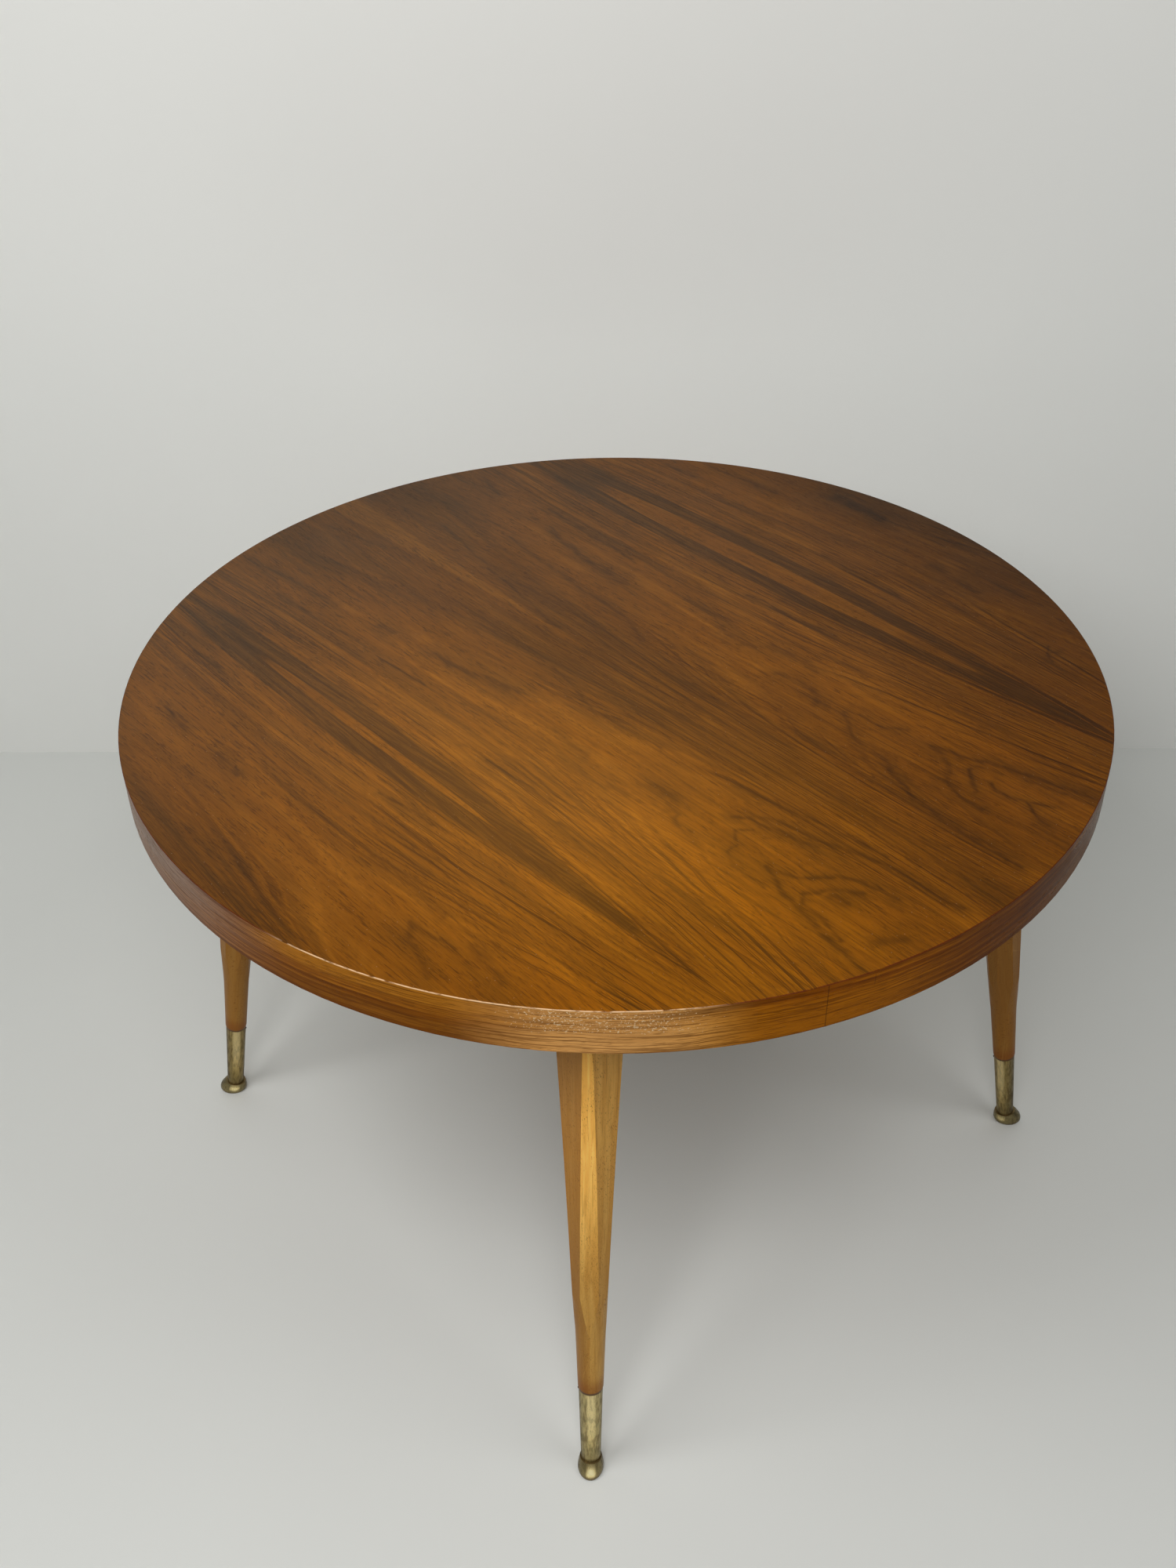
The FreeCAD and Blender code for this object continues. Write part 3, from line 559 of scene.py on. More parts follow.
def broad_tones(recipe, face):
    """The spindle and its streaks, the wedge, the dark middle and slow bands of the rings."""
    x, y, cut, ring, seed, slant = face.x, face.y, face.cut, face.ring, face.seed, face.slant
    outer_side = cut.falls(96, 128)
    middle_side = cut.rises(150, 190)
    front_pair = face.leaf.falls(-1.6, -1.4)
    rear_pair = 1 - front_pair
    spindle = ring.rises(SPINDLE_RING - 0.4, SPINDLE_RING + 1.2) * outer_side
    spindle = spindle * (x + front_pair * -50).rises(-292, -235)
    streak = ring.rises(STREAK_RING - 1.8, STREAK_RING + 1.0) * outer_side - spindle
    streak = streak * (0.45 + recipe.noise(x / 260, ring / 2.2, seed + 7, detail=3.0) * 0.95)
    streak = streak * (0.3 + x.rises(-400, -260) * 0.7)
    streak_lines = recipe.noise(x / 90, (cut + slant) / 1.7, seed + 33, detail=2.0)
    from_middle = LEAF_WIDTH - face.across
    wedge = ((x - WEDGE_TIP) * WEDGE_SLOPE - from_middle).rises(-2.0, 3.0)
    open_wedge = ring.rises(124, 134) * middle_side
    middle_edge = cut - x.rises(60, 260) * 28
    middle = middle_edge.rises(166, 192) * x.rises(-230, -90) * (1 - open_wedge * x.falls(60, 200))
    middle = middle * (1 - x.rises(60, 260) * 0.25)
    outer_left = x.falls(-390, -230) * cut.rises(70, 130) * (1 - open_wedge) * y.rises(-260, -200)
    clouds = recipe.noise(x / 130, cut / 22, seed + 5, detail=3.0, roughness=0.55)
    bands = recipe.noise(x / 520, ring / 9, seed + 1, detail=3.0, roughness=0.6)
    fine_bands = recipe.noise(x / 330, ring / 2.6, seed + 2, detail=2.0, roughness=0.55)
    streaks = recipe.noise(x / 120, (cut + slant) / 5.0, seed + 15, detail=3.0, roughness=0.6)
    silk = recipe.noise(x / 60, (cut + slant) / 2.2, seed + 19, detail=2.0, roughness=0.6)
    pointed = face.heart * x.rises(40, 150)
    core = face.level_heart.rises(0.55, 0.95)
    quiet = x.falls(-160, 40) * cut.rises(45, 95)
    dark = (bands.rises(0.48, 0.66) * 0.28 + fine_bands.rises(0.50, 0.66) * 0.36) * (1 - core * 0.8)
    dark = dark * (1 - pointed * 0.8) * (1 - quiet * 0.6)
    calm = 1 - recipe.math("MAXIMUM", y.falls(-330, -230) * 0.6, quiet * 0.45)
    calm = calm - x.falls(-240, -120) * y.falls(-290, -230) * 0.25
    dark = dark + (streaks.rises(0.50, 0.68) * 0.28 + silk.rises(0.50, 0.66) * 0.24) * calm
    dark = dark + clouds.rises(0.50, 0.72) * 0.34
    dark = dark + streak * 0.86 + middle * 0.40 + outer_left * 0.24
    dark = dark * (1 - spindle * (0.62 - rear_pair * 0.22)) * (1 - wedge * 0.9)
    light = bands.falls(0.32, 0.46) * 0.26 + fine_bands.falls(0.34, 0.46) * 0.28 * (1 - pointed)
    light = light * (1 - quiet * 0.6)
    light = light * (1 - spindle) + wedge * 0.75
    light = light + clouds.falls(0.32, 0.50) * 0.36
    light = light + (streaks.falls(0.34, 0.46) + silk.falls(0.36, 0.48)) * 0.14 * calm
    tone = recipe.mix(recipe.math("MINIMUM", light, 1.0), WALNUT_MID, WALNUT_LIGHT)
    tone = recipe.mix(recipe.math("MINIMUM", dark, 1.0), tone, WALNUT_DARK)
    tone = recipe.mix(streak * streak_lines.rises(0.46, 0.62) * 0.65, tone, WALNUT_LINE)
    tone = recipe.mix(streak * streak_lines.falls(0.34, 0.46) * 0.26, tone, WALNUT_MID)
    areas = SimpleNamespace(
        outer_side=outer_side,
        from_middle=from_middle,
        spindle=spindle,
        pointed=pointed,
        core=core,
        quiet=quiet,
        calm=calm,
        clouds=clouds,
    )
    return tone, areas


def add_lines(recipe, face, areas, tone):
    """Thin dark rings away from the heart, hair-thin streaks, and the drawn lines of the figure."""
    x, cut, seed, slant = face.x, face.cut, face.seed, face.slant
    ring_lines = recipe.noise(x / 800, face.ring / 1.5, seed + 4, detail=2.0, roughness=0.5)
    show = recipe.noise(x / 120, cut / 30, seed + 8, detail=2.0)
    strength = 0.50 + x.rises(-60, 330) * 0.20 + areas.outer_side * 0.15
    strength = strength - face.heart * 0.25 - areas.core * 0.5 - areas.pointed * 0.75 - areas.quiet * 0.3
    strength = recipe.math("MAXIMUM", strength, 0.0)
    lines = ring_lines.rises(0.54, 0.64) * strength * show.rises(0.28, 0.54) * (1 - areas.spindle * 0.6)
    hair_lines = recipe.noise(x / 110, (cut + slant) / 1.7, seed + 17, detail=2.0)
    lines = lines + hair_lines.rises(0.58, 0.68) * (1 - areas.spindle * 0.5) * 0.44 * areas.calm
    tone = recipe.mix(recipe.math("MINIMUM", lines, 0.85), tone, WALNUT_LINE)
    hairline = spot(x, face.across, (64, 51), (60, 1.6), slope=-0.02)
    hairline = hairline + spot(x, face.across, (-100, 79), (90, 1.3), slope=0.05) * 0.6
    mottle = recipe.noise(x / 14, cut / 3.5, seed + 11, detail=3.0)
    drawn, shade = figure_lines(recipe, x, face.y, seed)
    tone = recipe.mix(shade * (0.4 + mottle.rises(0.30, 0.60) * 0.5), tone, WALNUT_DARK)
    marks = drawn * (0.55 + mottle.rises(0.32, 0.62) * 0.60) + hairline * 0.6
    return recipe.mix(recipe.math("MINIMUM", marks, 0.85), tone, WALNUT_LINE)


def add_fibre(recipe, face, clouds, tone):
    """Short dark ticks, silky fibre and pores."""
    ticks = recipe.noise(face.x / 15, (face.cut + face.slant) / 1.3, face.seed + 31, detail=2.0)
    tone = recipe.mix(ticks.rises(0.54, 0.68) * clouds.rises(0.26, 0.56) * 0.55, tone, WALNUT_LINE)
    across = face.cut + face.slant
    grain = recipe.group(FIBRE, along=face.x, across=across, through=face.z, pore_length=6.0, pore_width=0.6)
    tone = recipe.mix(grain["pores"] * 0.6, tone, WALNUT_LINE)
    return recipe.shade(tone, 0.50 + grain["fibre"] * 1.00), grain


def add_stain(recipe, face, tone):
    """The golden patch, also painted lighter, painted light and shade across the top, a painted grey
    reflection on the left and red on the right.
    """
    x, y, cut = face.x, face.y, face.cut
    place = recipe.point(x / GOLDEN_REACH[0], y / GOLDEN_REACH[1], 0.0)
    golden = recipe.vector("DISTANCE", place, GOLDEN_MIDDLE).falls(0, 1)
    tone = recipe.mix(golden * 0.11, tone, WALNUT_GOLD)
    # Painted shade, deepening towards the right of the top
    painted_shade_right = (x * 0.67 + y * 0.74).rises(40, 430)
    beside_heart = cut.rises(110, 178) * (0.10 + x.falls(-200, 60) * 0.08)
    near_heart = cut.near(85, 20, 30) * x.rises(0, 250) * 0.10
    # Painted light and shade: lighter on the golden patch and lit stretches, darker at the rear and by the
    # rims
    leaf_shade = (0.88 + golden * 0.32) * (1 + near_heart - beside_heart) * (1 - y.rises(240, 420) * 0.30)
    lit_right = x.rises(200, 310) * y.near(45, 100, 70)
    near_rim = x.rises(190, 300) * y.near(-215, 25, 45) * 0.22 + y.falls(-330, -230) * 0.06
    lit_rear = y.near(128, 25, 40) * x.rises(-40, 90) * x.falls(230, 310)
    left_rim = x.falls(-400, -270) * y.near(80, 60, 80)
    leaf_shade = leaf_shade * (1 + lit_right * 0.17 + lit_rear * 0.12 - near_rim - left_rim * 0.14)
    # The painted light and shade above, with more painted shade to the right and at the far left
    tone = recipe.shade(tone, leaf_shade * (1.05 - painted_shade_right * 0.46 - x.falls(-420, -140) * 0.14))
    # A painted grey reflection over the left of the top, which also dims the wood under it
    painted_reflection = (x - y * 0.15).falls(-420, 260) * (1 - y.rises(190, 380) * 0.5)
    tone = recipe.vector("ADD", recipe.shade(tone, 1 - painted_reflection * 0.24), recipe.shade(PAINTED_REFLECTION_GREY, painted_reflection))
    redder = x.rises(130, 340)
    return recipe.vector("MULTIPLY", tone, recipe.point(1.0, 1 - redder * 0.06, 1 - redder * 0.85))


def add_wear(recipe, face, from_middle, tone):
    """The hairline between two leaves, rim wear with a painted highlight on the arris, and lacquer wear."""
    from_seam = recipe.math("MINIMUM", face.across, from_middle)
    tone = recipe.mix(from_seam.falls(0.08, 0.30) * 0.30, tone, WALNUT_LINE)
    rim = recipe.group(RIM, x=face.x, y=face.y, z=face.z)
    # The arris at the front: worn pale, with a painted highlight
    tone = recipe.mix(rim["worn"] * 0.85, tone, ARRIS_WORN_AND_HIGHLIT)
    tone = recipe.mix(rim["dark"] * 0.7, tone, ARRIS_DARK)
    wear = recipe.group(SCUFFS, x=face.x, y=face.y, z=face.z)
    tone = recipe.mix(wear["scratches"] * 0.08, tone, WALNUT_LIGHT)
    return recipe.mix(wear["dust"] * 0.14, tone, SPECKLE), wear


def make_face_finish():
    """Walnut leaves under old satin lacquer. The renderer can hold hardly any more values than these."""
    material, recipe, shader = new_finish("face_veneer", specular=0.06)
    face = face_point(recipe)
    tone, areas = broad_tones(recipe, face)
    tone = add_lines(recipe, face, areas, tone)
    tone, grain = add_fibre(recipe, face, areas.clouds, tone)
    tone = add_stain(recipe, face, tone)
    tone, wear = add_wear(recipe, face, areas.from_middle, tone)
    recipe.feed(shader.inputs["Base Color"], tone)
    rough = 0.40 + wear["rubbed"] * 0.07 + grain["pores"] * 0.12
    rough = rough + wear["dust"] * 0.2 - wear["scratches"] * 0.05
    recipe.feed(shader.inputs["Roughness"], rough)
    height = grain["fibre"] * 0.35 - grain["pores"] * 0.6 - wear["scratches"] * 0.12
    relief(recipe, shader, height, distance=0.00012, strength=0.55)
    return material


# Edge veneer


def make_edge_finish():
    """Walnut strips whose grain runs round the edge, rubbed pale at the front with a painted highlight there,
    painted light and shade to its right and a painted grey reflection on the left.
    """
    material, recipe, shader = new_finish("edge_veneer", specular=0.03)
    x, y, z = recipe.place()
    rim = recipe.group(RIM, x=x, y=y, z=z)
    bearing = rim["bearing"]
    along = bearing * (TOP_RADIUS * math.radians(1))
    up = z - EDGE_FLOOR
    sway = recipe.noise(along / 130, 1.0, 2.0, detail=2.0) * 9
    level = up + sway
    bands = recipe.noise(along / 330, level / 4.2, 3.0, detail=3.0, roughness=0.6)
    lines = recipe.noise(along / 190, level / 1.1, 6.0, detail=2.0, roughness=0.55)
    dashes = recipe.noise(along / 16, level / 0.9, 8.0, detail=1.0)
    clouds = recipe.noise(along / 70, level / 11, 9.0, detail=3.0)
    tone = recipe.mix(bands.falls(0.36, 0.52) * 0.8, EDGE_MID, EDGE_LIGHT)
    tone = recipe.mix(bands.rises(0.50, 0.66) * 0.55 + clouds.rises(0.52, 0.70) * 0.3, tone, EDGE_DARK)
    tone = recipe.mix(lines.rises(0.55, 0.66) * 0.6, tone, EDGE_DARK)

    # Lighter where the lacquer is rubbed at the front and painted with a highlight there, with a gold and a
    # dark stripe to the left of it
    rubbed_and_highlit_front = bearing.rises(-59, -46) * bearing.falls(-36, -28)
    lit_right = bearing.near(-24, 9, 12)
    shaded_right = bearing.near(60, 60, 20)
    left_stripes = bearing.near(-66, 9, 9)
    tone = recipe.mix(left_stripes * level.rises(28, 34) * 0.85, tone, EDGE_LIGHT)
    tone = recipe.mix(left_stripes * level.falls(14, 28) * 0.5, tone, EDGE_DARK)
    tone = recipe.mix(lit_right * level.falls(28, 38) * 0.7, tone, EDGE_LIGHT)
    tone = recipe.mix(rubbed_and_highlit_front * (0.36 + clouds * 0.6 + level.falls(14, 34) * 0.2), tone, EDGE_PALE)
    # A painted grey reflection on the left of the edge, stronger towards the top
    tone = recipe.mix(bearing.near(-115, 20, 22) * (0.46 + level.rises(6, 36) * 0.4), tone, EDGE_REFLECTION_GREY)
    fine_lines = recipe.noise(along / 110, level / 1.5, 12.0, detail=2.0)
    tone = recipe.mix(fine_lines.rises(0.50, 0.62) * 0.58, tone, EDGE_DARK)
    tone = recipe.mix(dashes.rises(0.56, 0.66) * 0.5, tone, EDGE_DARK)
    grain = recipe.group(FIBRE, along=along, across=level, through=1.0, pore_length=6.0, pore_width=0.5)
    tone = recipe.mix(grain["pores"] * 0.42, tone, EDGE_DARK)
    edge_shade = (0.78 + grain["fibre"] * 0.68) * (1 - shaded_right * 0.35)
    tone = recipe.shade(tone, edge_shade * (1 + rubbed_and_highlit_front * 0.10))
    redder = bearing.rises(-40, -22) * bearing.falls(2, 14)
    tone = recipe.vector("MULTIPLY", tone, recipe.point(1.0, 1 - redder * 0.12, 1 - redder * 0.8))
    joint = bearing.near(JOINT_BEARING, 0.02, 0.06)
    joint = joint + bearing.near(SECOND_MARK_BEARING, 0.01, 0.04) * up.near(32, 3, 3)
    tone = recipe.mix(joint * 0.6, tone, WALNUT_LINE)
    tone = recipe.mix(rim["speckles"] * 0.8, tone, SPECKLE)
    # The arris at the front: worn pale, with a painted highlight
    tone = recipe.mix(rim["worn"] * 0.9, tone, ARRIS_WORN_AND_HIGHLIT)
    tone = recipe.mix(rim["dark"] * 0.75, tone, ARRIS_DARK)
    lower_rim = up.falls(0.4, 1.4) * clouds.rises(0.34, 0.60)
    tone = recipe.mix(lower_rim * 0.5, tone, EDGE_DARK)
    wear = recipe.group(SCUFFS, x=along, y=up * 2, z=1.0)
    tone = recipe.mix(wear["scratches"] * 0.14, tone, EDGE_LIGHT)
    recipe.feed(shader.inputs["Base Color"], tone)
    rough = 0.27 + wear["rubbed"] * 0.08 + rim["speckles"] * 0.3 + rubbed_and_highlit_front * 0.12 + grain["pores"] * 0.12
    recipe.feed(shader.inputs["Roughness"], rough)
    height = grain["fibre"] * 0.3 - grain["pores"] * 0.6 - joint * 0.8 + rim["speckles"] * 0.3
    relief(recipe, shader, height, distance=0.00012, strength=0.6)
    return material


# Legs


def leg_frame(recipe, corner):
    """Place on a leg in its own axes, in millimetres: up the leg, outwards and sideways."""
    low, high, outward = leg_line(corner)
    axis = (high - low).normalized()
    side = outward.cross(axis).normalized()
    out = axis.cross(side).normalized()
    if out.dot(outward) < 0:
        out = -out
    foot = low - axis * (low.z / axis.z)
    point = recipe.node("ShaderNodeTexCoord").outputs["Object"]
    from_foot = recipe.vector("SUBTRACT", point, foot)
    values = []
    for direction in (axis, out, side):
        values.append(recipe.vector("DOT_PRODUCT", from_foot, direction) * MILLIMETRES)
    return values, out


def facing(recipe, direction):
    """How far the surface faces along a direction, from -1 to 1."""
    return recipe.vector("DOT_PRODUCT", recipe.node("ShaderNodeNewGeometry").outputs["Normal"], direction)


# Heights up a leg's axis in millimetres: the crease between foot and ferrule, the ferrule's upper rim, and
# the stretch over which the outer facet fades into the turned part
CREASE_HEIGHT = 14.0
FERRULE_TOP = 97.8
FACET_END = 175.0
FACET_START = 345.0

# How much darker and redder each leg is painted as shade, from 0 to 1
LEG_PAINTED_SHADE = {"rear_right": 0.26, "rear_left": 0.25, "front_left": 0.19, "front_right": 0.0}


def make_leg_finish(corner, seed):
    """Golden beech with slanting flecks, with a painted sheen on the facet that faces out, painted light on a
    face turned to the right, and painted shade on the other sides and lower down.
    """
    material, recipe, shader = new_finish(f"leg_wood_{corner}", specular=0.12)
    (up, out, side), outward = leg_frame(recipe, corner)
    x, y, z = recipe.place()
    grain_out = out + recipe.noise(up / 200, seed, 1.0) * 9
    grain_side = side + recipe.noise(up / 170, seed, 5.0) * 7
    bands = recipe.noise(up / 330 + seed, grain_side / 5.5, grain_out / 9, detail=3.0, roughness=0.55)
    lines = recipe.noise(up / 200 + seed, grain_side / 1.5, grain_out / 2.2, detail=2.0)
    tone = recipe.mix(bands.rises(0.36, 0.60), BEECH_LIGHT, BEECH_MID)
    # Painted sheen on the outward facet, and painted light on a face turned to the right
    facet = facing(recipe, outward).rises(0.80, 0.97) * up.rises(FACET_END, FACET_START)
    # The leg's painted shade darkens and reddens it and dims the painted light on its right face
    depth = LEG_PAINTED_SHADE[corner]
    right_face = facing(recipe, (1.0, 0.0, 0.0)).rises(0.35, 0.75) * max(0.0, 1 - depth * 4)
    # Painted shade: the sides other than the facet take the darker beech
    tone = recipe.mix((1 - facet) * (0.76 - right_face * 0.45), tone, BEECH_SHADE_AND_LINES)
    tone = recipe.mix(depth, tone, BEECH_RED)
    # Painted sheen on the facet, painted light on the right face, painted shade lower down the leg
    tone = recipe.shade(tone, (1.02 + facet * 0.24 + right_face * 0.10) * (0.72 + up.rises(190, 410) * 0.28))
    tone = recipe.mix(lines.rises(0.54, 0.68) * 0.35, tone, BEECH_SHADE_AND_LINES)
    slanting = up * 0.8 + side * 1.1
    flecks = recipe.noise(slanting / 2.4, (side - up * 0.25) / 0.8, out / 3, detail=1.0)
    patches = recipe.noise(up / 45 + seed, side / 12, out / 12, detail=1.0)
    tone = recipe.mix(flecks.rises(0.60, 0.70) * patches.rises(0.34, 0.58) * 0.5, tone, BEECH_FLECK)
    grain = recipe.group(
        FIBRE, along=up, across=grain_side, through=grain_out, pore_length=4.0, pore_width=0.4
    )
    tone = recipe.mix(grain["pores"] * 0.25, tone, BEECH_FLECK)
    tone = recipe.shade(tone, 0.82 + grain["fibre"] * 0.36)
    tone = recipe.mix(up.falls(104, 122) * 0.55, tone, BEECH_RED)
    tone = recipe.mix(up.falls(FERRULE_TOP + 1.4, FERRULE_TOP + 3.8) * 0.7, tone, NAIL_BLACK)
    wear = recipe.group(SCUFFS, x=x, y=y, z=z)
    tone = recipe.mix(wear["scratches"] * 0.12, tone, BEECH_LIGHT)
    recipe.feed(shader.inputs["Base Color"], tone)
    rough = 0.36 + wear["rubbed"] * 0.10 + grain["pores"] * 0.1
    recipe.feed(shader.inputs["Roughness"], rough)
    height = grain["fibre"] * 0.3 - grain["pores"] * 0.5
    relief(recipe, shader, height, distance=0.0001, strength=0.5)
    return material


# Brass

# The bearing of the side on which the brass of each leg has its painted highlight
HIGHLIGHT_BEARING = {"rear_right": -78.0, "rear_left": -45.0, "front_left": -28.0, "front_right": -39.0}

# How light the brass of each leg is, where 1 is the lightest one
BRASS_LIGHTNESS = {"rear_right": 0.70, "rear_left": 0.62, "front_left": 0.68, "front_right": 1.06}


def highlight_side(corner, lift):
    """The direction of a leg's painted highlight on the brass, raised by the lift."""
    bearing = math.radians(HIGHLIGHT_BEARING[corner])
    return Vector((math.cos(bearing), math.sin(bearing), lift)).normalized()


def make_ferrule_finish(corner):
    """Aged brass tube with a painted highlight down one side, painted shade at its sides, darker towards the
    bottom and dark in the crease below it.
    """
    material, recipe, shader = new_finish(f"brass_{corner}")
    up, out, side = leg_frame(recipe, corner)[0]
    patina = recipe.group(PATINA, along=up, across=side, through=out)
    tone = recipe.mix(patina["brown"] * 0.55, BRASS_DULL, BRASS_BROWN)
    tone = recipe.mix(patina["green"] * 0.28, tone, BRASS_GREEN)
    # A painted highlight down one side, painted shade where the tube turns sideways to it, and darker towards
    # the bottom
    front = facing(recipe, highlight_side(corner, 0.0))
    worn = front.rises(0.86, 0.995)
    sides = 0.50 + front.size().rises(0.1, 0.85) * 0.5
    tone = recipe.shade(tone, (0.62 + up.rises(18, 50) * (0.16 + worn * 0.6)) * sides * BRASS_LIGHTNESS[corner])
    dull = max(0.0, 1 - BRASS_LIGHTNESS[corner])
    tone = recipe.vector("MULTIPLY", tone, (1.0, 1 - dull * 0.3, 1 - dull * 0.9))
    tone = recipe.mix(worn * up.rises(30, 70) * 0.4, tone, BRASS_BRIGHT)
    tone = recipe.mix(patina["pits"] * 0.5, tone, BRASS_BROWN)
    crease = up.falls(CREASE_HEIGHT, CREASE_HEIGHT + 3.5)
    crease = crease + up.rises(FERRULE_TOP - 1.4, FERRULE_TOP) * 0.5
    tone = recipe.mix(crease * 0.6, tone, BRASS_BROWN)
    recipe.feed(shader.inputs["Base Color"], tone)
    shader.inputs["Metallic"].default_value = 0.75
    rough = 0.34 + patina["brown"] * 0.16 + patina["green"] * 0.10 + patina["brushing"] * 0.08
    recipe.feed(shader.inputs["Roughness"], rough)
    height = patina["brushing"] * 0.5 - patina["pits"] * 0.6
    relief(recipe, shader, height, distance=0.00008, strength=0.6)
    return material


def make_foot_finish(corner):
    """Darker brass with a painted highlight on the crown of the foot and painted shade at its sides."""
    material, recipe, shader = new_finish(f"foot_brass_{corner}")
    up, out, side = leg_frame(recipe, corner)[0]
    patina = recipe.group(PATINA, along=up * 2, across=side, through=out)
    tone = recipe.mix(patina["brown"] * 0.4, BRASS_DULL, BRASS_BROWN)
    tone = recipe.mix(patina["green"] * 0.2, tone, BRASS_GREEN)
    # A painted highlight on the crown of the foot, and painted shade at its sides
    front = facing(recipe, highlight_side(corner, 0.5))
    crown = front.rises(0.86, 0.99) * (0.25 + up.near(6.5, 1.0, 4.5) * 0.75)
    tone = recipe.mix(crown * 0.5, tone, BRASS_BRIGHT)
    tone = recipe.shade(tone, 0.26 + front.size().rises(0.2, 0.9) * 0.18 + crown * 1.9)
    tone = recipe.mix(up.rises(12.0, 13.4) * 0.8 + up.falls(0.6, 2.4) * 0.6, tone, BRASS_BROWN)
    tone = recipe.mix(patina["pits"] * 0.5, tone, BRASS_BROWN)
    recipe.feed(shader.inputs["Base Color"], tone)
    shader.inputs["Metallic"].default_value = 0.55
    rough = 0.24 + patina["brown"] * 0.20 + patina["brushing"] * 0.06
    recipe.feed(shader.inputs["Roughness"], rough)
    height = patina["brushing"] * 0.3 - patina["pits"] * 0.7
    relief(recipe, shader, height, distance=0.00008, strength=0.5)
    return material


# Hidden woods, screws and nails


def make_plain_wood(name, light, dark, along_axis, band=9.0, rough=0.62, seed=0.0):
    """A planed or sawn wood with straight grain along one axis of the table."""
    material, recipe, shader = new_finish(name, specular=0.3)
    x, y, z = recipe.place()
    along, across, through = {"x": (x, y, z), "y": (y, x, z), "z": (z, x, y)}[along_axis]
    bands = recipe.noise(along / 420 + seed, across / band, through / band, detail=3.0, roughness=0.6)
    lines = recipe.noise(along / 260 + seed, across / (band / 4), through / (band / 4), detail=2.0)
    tone = recipe.mix(bands.rises(0.36, 0.64), light, dark)
    tone = recipe.mix(lines.rises(0.54, 0.68) * 0.4, tone, dark)
    grain = recipe.group(FIBRE, along=along, across=across, through=through, pore_length=5.0, pore_width=0.5)
    tone = recipe.mix(grain["pores"] * 0.3, tone, WALNUT_DARK)
    tone = recipe.shade(tone, 0.80 + grain["fibre"] * 0.40)
    recipe.feed(shader.inputs["Base Color"], tone)
    recipe.feed(shader.inputs["Roughness"], rough + grain["pores"] * 0.1)
    height = grain["fibre"] * 0.6 - grain["pores"] * 0.6
    relief(recipe, shader, height, distance=0.0002, strength=0.6)
    return material


# One of the eight edge blocks covers this many degrees
EDGE_BLOCK_SPAN = 45.0


def make_ring_finish():
    """Sawn blocks of the edge, grain roughly along each block, each with its own tone, and saw marks."""
    material, recipe, shader = new_finish("edge_block_wood", specular=0.28)
    x, y, z = recipe.place()
    bearing = recipe.math("ARCTAN2", y, x) * math.degrees(1)
    radius = (x * x + y * y) ** 0.5
    block = recipe.math("FLOOR", bearing / EDGE_BLOCK_SPAN)
    along = bearing * (TOP_RADIUS * math.radians(1))
    bands = recipe.noise(along / 300 + block * 3, radius / 8, z / 9, detail=3.0)
    tone = recipe.mix(bands.rises(0.36, 0.64), RING_LIGHT, RING_DARK)
    by_block = recipe.noise(block * 1.7, 0.5, 0.5, detail=0.0)
    tone = recipe.shade(tone, 0.72 + by_block * 0.56)
    saw = recipe.math("SINE", radius * 2.2 + recipe.noise(along / 30, radius / 30, z / 30) * 6) * 0.5 + 0.5
    grain = recipe.group(FIBRE, along=along, across=radius, through=z, pore_length=5.0, pore_width=0.5)
    tone = recipe.shade(tone, 0.80 + grain["fibre"] * 0.34 + saw * 0.04)
    recipe.feed(shader.inputs["Base Color"], tone)
    recipe.feed(shader.inputs["Roughness"], 0.64 + grain["pores"] * 0.1)
    height = grain["fibre"] * 0.4 + saw * 0.5 - grain["pores"] * 0.4
    relief(recipe, shader, height, distance=0.0002, strength=0.7)
    return material


def make_steel_finish(name, light, dark, rough):
    """Turned steel with a little rust."""
    material, recipe, shader = new_finish(name)
    x, y, z = recipe.place()
    rust = recipe.noise(x / 3, y / 3, z / 3, detail=4.0, roughness=0.65)
    turned = recipe.noise(x / 0.4, y / 0.4, z / 0.4, detail=2.0)
    tone = recipe.mix(rust.rises(0.42, 0.62), light, dark)
    recipe.feed(shader.inputs["Base Color"], recipe.shade(tone, 0.85 + turned * 0.3))
    shader.inputs["Metallic"].default_value = 1.0
    recipe.feed(shader.inputs["Roughness"], rough + rust * 0.3)
    height = turned * 0.5 + rust * 0.4
    relief(recipe, shader, height, distance=0.00008, strength=0.5)
    return material


def wear_finish(node, material):
    """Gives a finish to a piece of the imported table."""
    mesh = nodes[node].data
    mesh.materials.clear()
    mesh.materials.append(material)


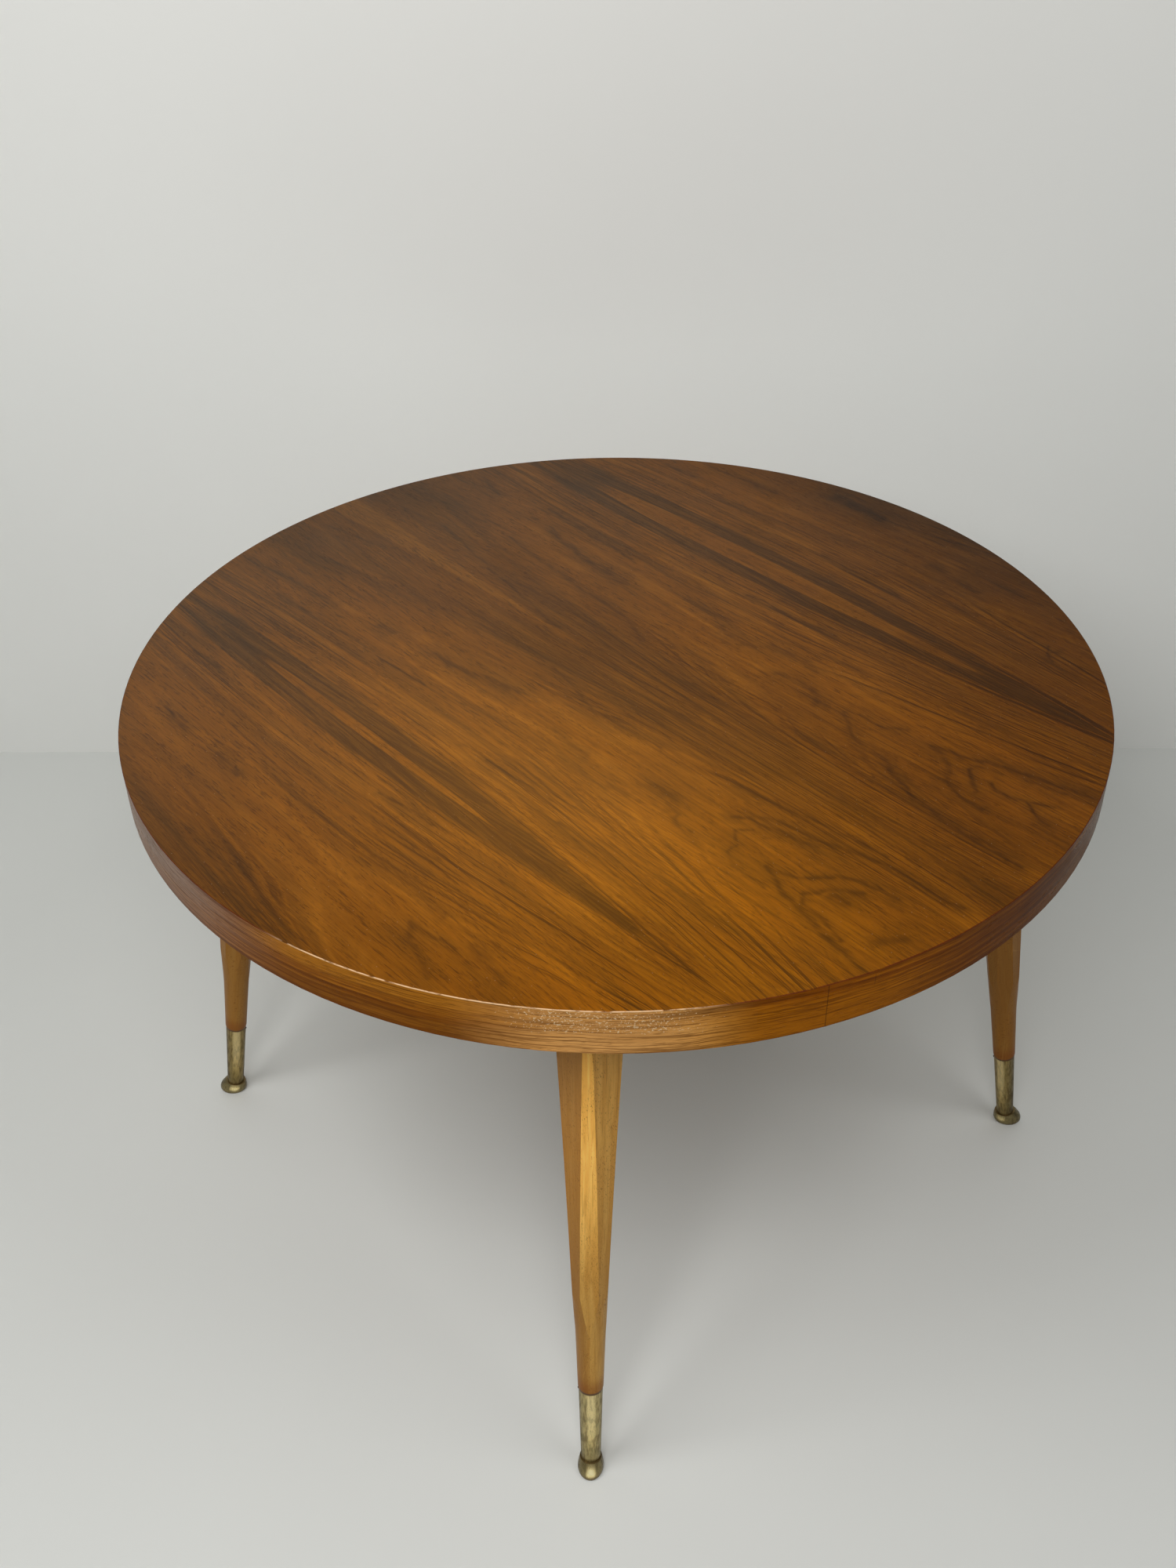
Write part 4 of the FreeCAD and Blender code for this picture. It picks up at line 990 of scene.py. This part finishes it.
def finish_table():
    face = make_face_finish()
    for leaf in LEAVES:
        wear_finish(f"veneer_leaf_{leaf}", face)
    edge = make_edge_finish()
    for strip in ("rear", "front"):
        wear_finish(f"edge_veneer_{strip}", edge)
    ring = make_ring_finish()
    for name in nodes:
        if name.startswith("edge_block_"):
            wear_finish(name, ring)
    core = make_plain_wood("core_wood", CORE_LIGHT, CORE_DARK, "x", band=14.0)
    wear_finish("core_board", core)
    backing = make_plain_wood("backing_veneer", BACKING_LIGHT, BACKING_DARK, "x", band=16.0)
    wear_finish("backing_veneer", backing)
    for seed, corner in enumerate(CORNERS):
        wear_finish(f"leg_{corner}", make_leg_finish(corner, seed * 3.7))
        wear_finish(f"ferrule_{corner}", make_ferrule_finish(corner))
        wear_finish(f"foot_{corner}", make_foot_finish(corner))
    rails = {}
    for axis in ("x", "y"):
        name = f"frame_wood_{axis}"
        rails[axis] = make_plain_wood(name, FRAME_LIGHT, FRAME_DARK, axis, rough=0.5, seed=2.0)
    for side in SIDES:
        wear_finish(f"rail_{side}", rails["x" if side in ("front", "rear") else "y"])
    block = make_plain_wood("block_wood", BLOCK_LIGHT, BLOCK_DARK, "x", band=7.0, rough=0.7)
    for corner in CORNERS:
        wear_finish(f"corner_block_{corner}", block)
    steel = make_steel_finish("screw_steel", STEEL_LIGHT, STEEL_RUST, 0.36)
    for screws in ("top_screws", "leg_screws", "foot_screws"):
        wear_finish(screws, steel)
    wear_finish("ferrule_nails", make_steel_finish("nail_steel", NAIL_BLACK, STEEL_RUST, 0.5))


# Room

VIEW_BEARING = 48.0
WALL_DISTANCE = 0.66
FLOOR_REACH = 4.0
WALL_HEIGHT = 4.0


def sheet_object(name, corners, material):
    """A flat stage piece through four corners."""
    mesh = bmesh.new()
    mesh.faces.new([mesh.verts.new(corner) for corner in corners])
    mesh.normal_update()
    data = bpy.data.meshes.new(name)
    mesh.to_mesh(data)
    mesh.free()
    made = bpy.data.objects.new(name, data)
    bpy.context.scene.collection.objects.link(made)
    data.materials.append(material)
    return made


def clear_from_behind(recipe, shader):
    """Makes a stage piece clear from behind, so that views from there see the table."""
    clear = recipe.node("ShaderNodeBsdfTransparent")
    choice = recipe.node("ShaderNodeMixShader")
    recipe.feed(choice.inputs[0], recipe.node("ShaderNodeNewGeometry").outputs["Backfacing"])
    recipe.feed(choice.inputs[1], shader.outputs[0])
    recipe.feed(choice.inputs[2], clear.outputs[0])
    output = next(node for node in recipe.tree.nodes if node.type == "OUTPUT_MATERIAL")
    recipe.feed(output.inputs["Surface"], choice.outputs[0])


def make_stage_finish(name, pale, cloud, specular, rough):
    """A plain pale surface with hardly visible clouds."""
    material, recipe, shader = new_finish(name, specular=specular)
    x, y, z = recipe.place()
    mottle = recipe.noise(x / cloud, y / cloud, z / cloud, detail=3.0)
    recipe.feed(shader.inputs["Base Color"], recipe.shade(pale, 0.985 + mottle * 0.03))
    shader.inputs["Roughness"].default_value = rough
    clear_from_behind(recipe, shader)
    return material


def make_room():
    """A level floor and an upright wall square to the view."""
    turn = Matrix.Rotation(math.radians(VIEW_BEARING), 4, "Z")
    reach = FLOOR_REACH
    back = WALL_DISTANCE
    high = WALL_HEIGHT
    floor_corners = [(-reach, -reach, 0), (reach, -reach, 0), (reach, reach, 0), (-reach, reach, 0)]
    wall_corners = [(-reach, back, 0), (reach, back, 0), (reach, back, high), (-reach, back, high)]
    wall_corners = [turn @ Vector(corner) for corner in wall_corners]
    floor_finish = make_stage_finish("pale_floor", FLOOR_PALE, cloud=260.0, specular=0.25, rough=0.55)
    wall_finish = make_stage_finish("pale_wall", WALL_PALE, cloud=300.0, specular=0.2, rough=0.8)
    floor = sheet_object("floor", floor_corners, floor_finish)
    wall = sheet_object("wall", wall_corners, wall_finish)


# Light and camera


# Soft lamps, placed as seen from the camera: across, forward and up, then the width and the power
LAMPS = {
    "soft_lamp_left": (-1.0, -0.7, 1.9, 0.9, 13.5),
    "soft_lamp_right": (1.0, -0.6, 2.1, 0.9, 7.5),
    "soft_lamp_front": (-0.15, -1.25, 1.7, 0.7, 13.5),
}
LAMP_TONE = (1.0, 0.995, 0.98)
LAMP_AIM = (0.0, 0.0, 0.30)
ROOM_STRENGTH = 0.06


def make_light(name, across, forward, height, width, power):
    """A square soft lamp aimed at the table."""
    lamp = bpy.data.lights.new(name, "AREA")
    lamp.shape = "SQUARE"
    lamp.size = width
    lamp.energy = power
    lamp.color = LAMP_TONE
    made = bpy.data.objects.new(name, lamp)
    turn = Matrix.Rotation(math.radians(VIEW_BEARING), 4, "Z")
    place = turn @ Vector((across, forward, height))
    aim = (Vector(LAMP_AIM) - place).to_track_quat("-Z", "Y")
    made.matrix_world = Matrix.Translation(place) @ aim.to_matrix().to_4x4()
    bpy.context.scene.collection.objects.link(made)


def make_lighting():
    for name, settings in LAMPS.items():
        make_light(name, *settings)
    world = bpy.data.worlds.new("room")
    world.use_nodes = True
    background = world.node_tree.nodes["Background"]
    background.inputs["Color"].default_value = ROOM_LIGHT
    background.inputs["Strength"].default_value = ROOM_STRENGTH
    bpy.context.scene.world = world


# The camera that the photo was taken with, in metres and degrees, its lens in millimetres
CAMERA_PLACE = (0.8744, -0.7873, 1.3129)
CAMERA_TURN = 49.17
CAMERA_TILT = 53.23
CAMERA_ROLL = -0.874
CAMERA_LENS = 36.32
CAMERA_SENSOR = 36.0
CAMERA_NEAREST = 0.05


def make_camera():
    camera = bpy.data.cameras.new("camera")
    camera.sensor_width = CAMERA_SENSOR
    camera.lens = CAMERA_LENS
    camera.clip_start = CAMERA_NEAREST
    made = bpy.data.objects.new("camera", camera)
    made.matrix_world = (
        Matrix.Translation(CAMERA_PLACE)
        @ Matrix.Rotation(math.radians(CAMERA_TURN), 4, "Z")
        @ Matrix.Rotation(math.radians(CAMERA_TILT), 4, "X")
        @ Matrix.Rotation(math.radians(CAMERA_ROLL), 4, "Z")
    )
    bpy.context.scene.collection.objects.link(made)
    bpy.context.scene.camera = made


finish_table()
make_room()
make_lighting()
make_camera()
bpy.context.scene.view_settings.view_transform = "Standard"
